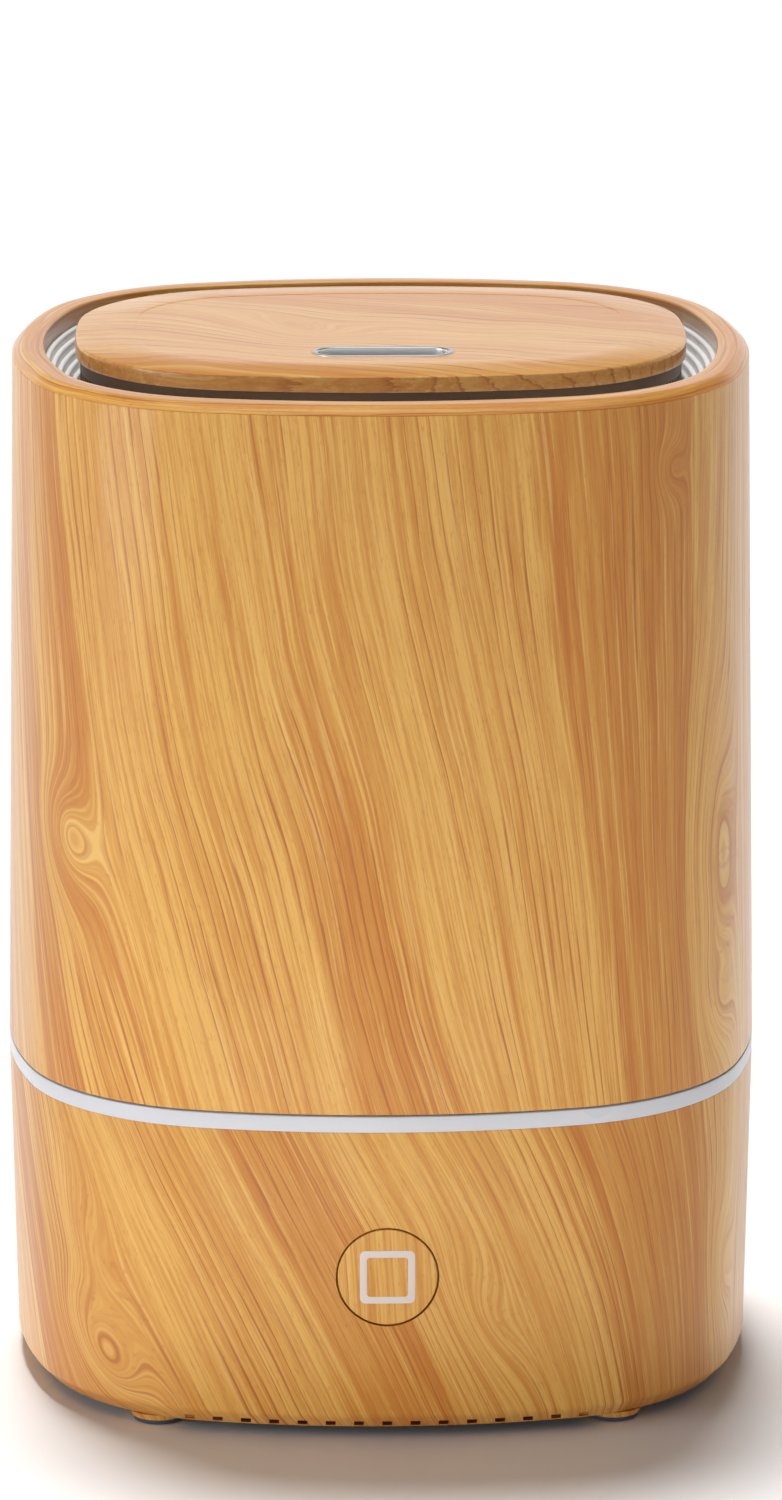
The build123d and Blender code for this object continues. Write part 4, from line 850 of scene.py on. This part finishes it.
LAMP_LEDGE_INSET = 6.0 * MM
LAMP_LEDGE_TOP = 79.2 * MM
LAMP_LEDGE_LOW = 78.0 * MM
CAVITY_BEND_Z = 9.0 * MM
CAVITY_LOW_INSET = 6.0 * MM
PLATE_LEDGE_WIDTH = 3.0 * MM
PLATE_LEDGE_TOP = 6.6 * MM
PLATE_LEDGE_LOW = 5.4 * MM
FOOT_LAND = 3.2 * MM
plate_inset = BASE_TAPER + BASE_EDGE + FOOT_LAND
base_profile = rounded([
    (BASE_TAPER + BASE_EDGE, base_low.z, 0.5 * MM),
    (BASE_TAPER, base_bend_z, 1.1 * MM),
    (0, base_high.z, 0.12 * MM),
    (WALL + SLIP, base_high.z, 0.1 * MM),
    (WALL + SLIP, LAMP_LEDGE_TOP, 0.1 * MM),
    (LAMP_LEDGE_INSET, LAMP_LEDGE_TOP, 0.1 * MM),
    (LAMP_LEDGE_INSET, LAMP_LEDGE_LOW, 0.1 * MM),
    (WALL + SLIP, LAMP_LEDGE_LOW, 0.1 * MM),
    (WALL + BASE_TAPER, CAVITY_BEND_Z, 0.3 * MM),
    (CAVITY_LOW_INSET, PLATE_LEDGE_TOP, 0.1 * MM),
    (plate_inset + PLATE_LEDGE_WIDTH, PLATE_LEDGE_TOP, 0.1 * MM),
    (plate_inset + PLATE_LEDGE_WIDTH, PLATE_LEDGE_LOW, 0.1 * MM),
    (plate_inset, PLATE_LEDGE_LOW, 0.1 * MM),
    (plate_inset, base_low.z, 0.2 * MM),
])
base_skin = make_piece(
    "base_skin", [swept(body_line, base_profile, outer_rows=3 * CORNER_ROWS)], "base",
    [base_wood, dark_plastic], ["base_shell"],
)
cut_base(base_skin)

foot_profile = [
    (0, feet_low.z), (FOOT_SOLE - 0.5 * MM, feet_low.z), (FOOT_SOLE - 0.1 * MM, feet_low.z + 0.15 * MM),
    (FOOT_SOLE, feet_low.z + 0.5 * MM), (FOOT_TOP, feet_high.z), (0, feet_high.z),
]
make_piece(
    "turned_feet", [turned(spot, foot_profile) for spot in foot_spots], "base", [base_wood],
    ["feet"],
)
pad_profile = [
    (0, pads_low.z), (PAD_RADIUS - 0.4 * MM, pads_low.z), (PAD_RADIUS - 0.1 * MM, pads_low.z + 0.1 * MM),
    (PAD_RADIUS, pads_low.z + 0.4 * MM), (PAD_RADIUS, pads_high.z), (0, pads_high.z),
]
make_piece(
    "rubber_pads", [turned(spot, pad_profile) for spot in foot_spots], "base", [rubber],
    ["foot_pads"],
)

RING_INSIDE = 4.0 * MM
RING_FOOT_INSET = 3.0 * MM
ring_profile = rounded([
    (RING_INSIDE, ring_low.z, 0.1 * MM),
    (RING_FOOT_INSET, ring_low.z, 0.1 * MM),
    (RING_FOOT_INSET, base_high.z, 0.1 * MM),
    (0, base_high.z, 0.22 * MM),
    (0, ring_high.z, 0.35 * MM),
    (RING_INSIDE, ring_high.z, 0.2 * MM),
])
make_piece(
    "diffuser_ring", [swept(body_line, ring_profile)], "base", [diffuser],
    ["light_ring"],
)

# ---------------------------------------------------------------- button

# Radii of the button, in millimetres.
STEM = 2.6
FLANGE = 15.2
BUTTON = 13.05
FACE = 12.65
FACE_ROWS = 10


def button_rows():
    """Rows of (radius, depth, share) in millimetres, from the back of the stem to the middle of the
    face.  Depth is measured from the shell's own curve where the share is 0, and from a flat plane
    where it is 1."""
    stem = [(0, 8.1, 1), (STEM, 8.1, 1), (STEM, 6.2, 1)]
    flange = [(FLANGE - 0.1, 6.2, 1), (FLANGE, 6.1, 1), (FLANGE, 4.7, 1), (FLANGE - 0.1, 4.6, 1)]
    side = [(BUTTON, 4.6, 1), (BUTTON, 3.0, 0), (BUTTON, 0.40, 0)]
    edge = [(13.0, 0.16, 0), (12.88, 0.04, 0), (FACE, 0, 0)]
    face = [(FACE * (1 - i / FACE_ROWS), 0, 0) for i in range(1, FACE_ROWS + 1)]
    return np.array(stem + flange + side + edge + face)


def button_shape():
    """Circles of the button's rows in the X-Z plane: x = radius cos a, z = button height + radius sin a,
    and y = (1 - share) * the shell's y - share * half the depth + depth."""
    radius, depth, share = (button_rows() * [MM, MM, 1]).T[:, :, None]
    angle = np.linspace(0, 2 * math.pi, 128, endpoint=False)
    x = radius * np.cos(angle)
    z = button_z + radius * np.sin(angle)
    y = (1 - share) * shell_y(x, z) - share * half_depth + depth
    angle_closed = np.append(angle, 2 * math.pi)
    film = np.stack([radius * np.cos(angle_closed), button_z + radius * np.sin(angle_closed)], -1)
    return grid(np.stack([x, y, z], -1), film)


make_piece("button_face", [button_shape()], "button", [button_wood], ["power_button"])


MARK_BAND = 1.85 * MM
MARK_PROUD = 0.05 * MM
MARK_DEPTH = 0.3 * MM
MARK_CORNER = 1.5 * MM
MARK_INNER_CORNER = 0.8 * MM
MARK_COUNT = 320


def mark_line(half, corner):
    """One rounded square outline of the mark."""
    return outline(plan_arcs(half, half, NEARLY_STRAIGHT, NEARLY_STRAIGHT, corner), MARK_COUNT)


def mark_shape():
    """A rounded square frame that stands a hair proud of the button and follows its curve: each point
    is (1 - share) * outer outline + share * inner one, and y is the shell's y less the rise."""
    line = mark_line(mark_high.x, MARK_CORNER)
    inner = mark_line(mark_high.x - MARK_BAND, MARK_INNER_CORNER)
    profile = rounded([
        (0, -MARK_DEPTH, 0.02 * MM), (0, MARK_PROUD, 0.05 * MM),
        (MARK_BAND, MARK_PROUD, 0.05 * MM), (MARK_BAND, -MARK_DEPTH, 0.02 * MM),
    ])
    inset, proud = profile[:, 0], profile[:, 1]
    share = inset / inset.max()
    outer_points = line.centres + line.radii[:, None] * line.normals
    inner_points = inner.centres + inner.radii[:, None] * inner.normals
    flat = (1 - share)[:, None, None] * outer_points + share[:, None, None] * inner_points
    x, z = flat[..., 0], button_z + flat[..., 1]
    y = shell_y(x, z) - proud[:, None]
    film = np.stack(np.meshgrid(line.along, np.append(inset, inset[0])), -1)
    return grid(np.stack([x, y, z], -1), film, True)


make_piece("outline_mark", [mark_shape()], "button", [silver_ink], ["button_mark"])

# ---------------------------------------------------------------- tank

LEDGE_LOW = 92.0 * MM
LEDGE_HIGH = 94.4 * MM
LEDGE_WIDTH = 4.2 * MM
LEDGE_TAPER = 0.07 * MM
tank_profile = rounded([
    (0, tank_low.z, 0.40 * MM),
    (tank_taper, tank_high.z, 0.10 * MM),
    (tank_taper + WALL, tank_high.z, 0.10 * MM),
    (WALL + LEDGE_TAPER, LEDGE_HIGH, 0.10 * MM),
    (WALL + LEDGE_WIDTH, LEDGE_HIGH, 0.15 * MM),
    (WALL + LEDGE_WIDTH, LEDGE_LOW, 0.15 * MM),
    (WALL, LEDGE_LOW, 0.10 * MM),
    (WALL, tank_low.z, 0.20 * MM),
])
make_piece(
    "tank_skin", [swept(body_line, tank_profile, outer_rows=2 * CORNER_ROWS)], "tank",
    [tank_wood, inner_white], ["tank_shell"],
)

RIM_STEP = 5.5 * MM
rim_profile = rounded([
    (RIM_STEP, rim_low.z, 0.1 * MM),
    (RIM_STEP, tank_high.z, 0.1 * MM),
    (tank_taper, tank_high.z, 0.30 * MM),
    (tank_taper + rim_edge, rim_high.z, 0.90 * MM),
    (rim_inner, rim_high.z, 0.55 * MM),
    (rim_inner, rim_low.z, 0.2 * MM),
])
make_piece(
    "rim_band", [swept(body_line, rim_profile, by_girth=True)], "tank", [rim_wood],
    ["tank_rim"],
)

RIDGE_COUNT = 5
RIDGE_PITCH = 1.6 * MM
RIDGE_FALL = 1.9 * MM
RIDGE_START = 0.4 * MM
RIDGE_SHAPE = np.array([
    (0.02, -0.55), (0.18, -0.20), (0.45, -0.03), (0.80, 0.0), (1.15, -0.03), (1.42, -0.20), (1.58, -0.55),
])
FUNNEL_INSET = 5.8 * MM
FUNNEL_LIP = 1.8 * MM
FUNNEL_FLOOR = 2.0 * MM
FUNNEL_CREASE = 50
THROAT_INSET = 5.6 * MM


def funnel_shape():
    """The stepped funnel: rounded ridges, each lower than the one outside it, then a flat floor whose
    outline turns from the body's plan to the lid's at the throat.  Ridge i starts at rim inner edge +
    i * pitch and is i * fall lower; a floor row is edge + t * (throat - edge)."""
    floor_z = funnel_low.z + FUNNEL_FLOOR
    low_inset = rim_inner + RIDGE_COUNT * RIDGE_PITCH
    lip_z = funnel_high.z - FUNNEL_LIP
    rows = [(FUNNEL_INSET, lip_z), (FUNNEL_INSET, funnel_high.z), (rim_inner - SLIP, funnel_high.z)]
    for i in range(RIDGE_COUNT):
        crest = np.array([rim_inner + i * RIDGE_PITCH, funnel_high.z - RIDGE_START - i * RIDGE_FALL])
        rows += [tuple(row) for row in crest + RIDGE_SHAPE * MM]
    rows += [(low_inset, floor_z + 0.15 * MM), (low_inset + 0.3 * MM, floor_z)]
    outer = [ring_row(body_line, inset, z) for inset, z in rows]
    throat_top = ring_row(lid_line, THROAT_INSET, floor_z)
    floor_edge = outer[-1]
    floor = [floor_edge + (throat_top - floor_edge) * t for t in (0.33, 0.66, 0.97)]
    throat = [ring_row(lid_line, THROAT_INSET + 0.05 * MM, floor_z - 0.3 * MM),
              ring_row(lid_line, THROAT_INSET, funnel_low.z)]
    under = [ring_row(body_line, low_inset - RIDGE_PITCH, funnel_low.z),
             ring_row(body_line, rim_inner - FUNNEL_LIP, lip_z)]
    return plain_grid(outer + floor + throat + under)


make_piece(
    "ridged_funnel", [funnel_shape()], "tank", [white_plastic], ["fill_funnel"],
    crease=FUNNEL_CREASE,
)

# ---------------------------------------------------------------- lid

LID_BORDER = 12.0 * MM
LID_FALL = 0.95 * MM
LID_UNDER = 14.0 * MM
LID_MIDDLE = 16.0 * MM
SLOT_GAP = 0.1 * MM


def lid_shape():
    """The lid's board: an eased side, a gently sloping border, a flat middle and the mist slot.  The
    rows of the flat middle are edge + t * (slot - edge)."""
    edge = rounded([
        (LID_UNDER, lid_low.z, 0.1 * MM),
        (0, lid_low.z, 0.30 * MM),
        (0, lid_high.z - LID_FALL, 0.85 * MM),
        (LID_BORDER, lid_high.z, 2.4 * MM),
        (LID_MIDDLE, lid_high.z, 0.1 * MM),
        (LID_MIDDLE, lid_low.z + MM, 0.1 * MM),
    ])
    kept = edge[CORNER_ROWS:-CORNER_ROWS - 1]
    outer = [ring_row(lid_line, inset, z) for inset, z in kept]
    hole_line = outline(slot_arcs(bezel_high.x + SLOT_GAP, bezel_half + SLOT_GAP))
    hole_top = ring_row(hole_line, 0, lid_high.z, (0, mist_y))
    inner = [outer[-1] + (hole_top - outer[-1]) * t for t in np.linspace(0.12, 1, 9)]
    hole_low = ring_row(hole_line, 0, lid_low.z, (0, mist_y))
    return plain_grid(outer + inner + [hole_low])


make_piece("lid_board", [lid_shape()], "lid", [lid_wood], ["lid_top"])

BEZEL_NECK = 0.6 * MM
BEZEL_FLANGE = 0.8 * MM
BEZEL_BAND = 1.5 * MM
bezel_profile = rounded([
    (BEZEL_NECK, bezel_low.z, 0.1 * MM),
    (BEZEL_NECK, bezel_high.z - BEZEL_FLANGE, 0.1 * MM),
    (0, bezel_high.z - BEZEL_FLANGE, 0.1 * MM),
    (0, bezel_high.z, 0.30 * MM),
    (BEZEL_BAND, bezel_high.z, 0.55 * MM),
    (BEZEL_BAND, bezel_low.z, 0.2 * MM),
])
bezel_points, bezel_faces, bezel_film, bezel_finish = swept(bezel_line, bezel_profile)
bezel_grid = (bezel_points + [0, mist_y, 0], bezel_faces, bezel_film, bezel_finish)
make_piece("slot_bezel", [bezel_grid], "lid", [bright_metal], ["outlet_bezel"])

# ---------------------------------------------------------------- floor, light and camera


floor_paper = grained(
    "floor paper", tint(254, 254, 255), tint(252, 252, 253), 0.6, scale=60.0, speckle=0.1, relief=0.0
)
FLOOR_REACH = 6.0
FLOOR_Z = -0.05 * MM
floor_points = FLOOR_REACH * np.array([(-1, -1), (1, -1), (1, 1), (-1, 1)])
floor_mesh = bpy.data.meshes.new("floor")
floor_mesh.from_pydata(np.column_stack([floor_points, np.full(4, FLOOR_Z)]), [], [(0, 1, 2, 3)])
floor_mesh.materials.append(floor_paper)
floor = bpy.data.objects.new("floor", floor_mesh)
bpy.context.scene.collection.objects.link(floor)


def aim(thing, place, target):
    """Puts a lamp or camera at a place and points it at a target."""
    thing.location = place
    thing.rotation_mode = "QUATERNION"
    thing.rotation_quaternion = (Vector(target) - Vector(place)).to_track_quat("-Z", "Y")


def add_lamp(name, kind, place, target, energy, **settings):
    """One lamp at a place, aimed at a target; settings are its own properties."""
    data = bpy.data.lights.new(name, kind)
    data.energy = energy
    for key, value in settings.items():
        setattr(data, key, value)
    lamp = bpy.data.objects.new(name, data)
    bpy.context.scene.collection.objects.link(lamp)
    aim(lamp, place, target)
    return lamp


middle = (0, 0, lid_high.z / 2)
overhead = add_lamp("overhead", "SUN", (-0.05, 0.225, 1.0), (0, 0, 0), 3.1, angle=math.radians(13))
overhead.visible_glossy = False
add_lamp(
    "left_softbox", "AREA", (-1.75, -0.85, 0.30), middle, 16, shape="RECTANGLE", size=1.1, size_y=1.4
)
add_lamp(
    "front_fill", "AREA", (-0.5, -2.4, 0.30), (0, 0, 0.02), 0.8, shape="RECTANGLE", size=1.2, size_y=1.0
)
low_strip = add_lamp(
    "low_strip", "AREA", (-0.02, -0.34, 0.012), (0, -0.09, 0.02), 0.17,
    shape="RECTANGLE", size=0.32, size_y=0.02,
)
low_strip.visible_glossy = False

# The studio's walls: white to the eye, dim for the light they give, and in the gloss a bright band up
# to a low horizon and a bright patch overhead.
DIM_LIGHT = 0.12
HORIZON = {"From Min": 0.24, "From Max": 0.35, "To Min": 1.0, "To Max": 0.16}
ZENITH = {"From Min": 0.80, "From Max": 0.97, "To Max": 1.3}

world = bpy.data.worlds.new("studio")
world.use_nodes = True
bpy.context.scene.world = world
sky = world.node_tree
path = add_node(sky, "LightPath").outputs
rise = apart(sky, add_node(sky, "TexCoord").outputs["Generated"])[2]
horizon = add_node(sky, "MapRange", {"Value": rise, **HORIZON}).outputs[0]
zenith = add_node(sky, "MapRange", {"Value": rise, **ZENITH}).outputs[0]
glossy = sums(sky, "ADD", horizon, zenith)
given_light = {0: path["Is Diffuse Ray"], 2: glossy, 3: DIM_LIGHT}
strength = add_node(sky, "Mix", given_light, data_type="FLOAT").outputs[0]
seen_light = {0: path["Is Camera Ray"], 2: strength, 3: 1.0}
strength = add_node(sky, "Mix", seen_light, data_type="FLOAT").outputs[0]
sky.links.new(strength, sky.nodes["Background"].inputs["Strength"])
sky.nodes["Background"].inputs["Color"].default_value = (1, 1, 1, 1)

CAMERA_LENS = 194.2
CAMERA_SENSOR = 36
CAMERA_REACH = 30
CAMERA_PLACE = (-0.0401, -2.1018, 0.6872)
CAMERA_TARGET = (0.00277, 0, 0.16405)
camera_data = bpy.data.cameras.new("camera")
camera_data.lens = CAMERA_LENS
camera_data.sensor_width = CAMERA_SENSOR
camera_data.clip_end = CAMERA_REACH
camera = bpy.data.objects.new("camera", camera_data)
bpy.context.scene.collection.objects.link(camera)
aim(camera, CAMERA_PLACE, CAMERA_TARGET)
bpy.context.scene.camera = camera
bpy.context.scene.view_settings.view_transform = "Standard"
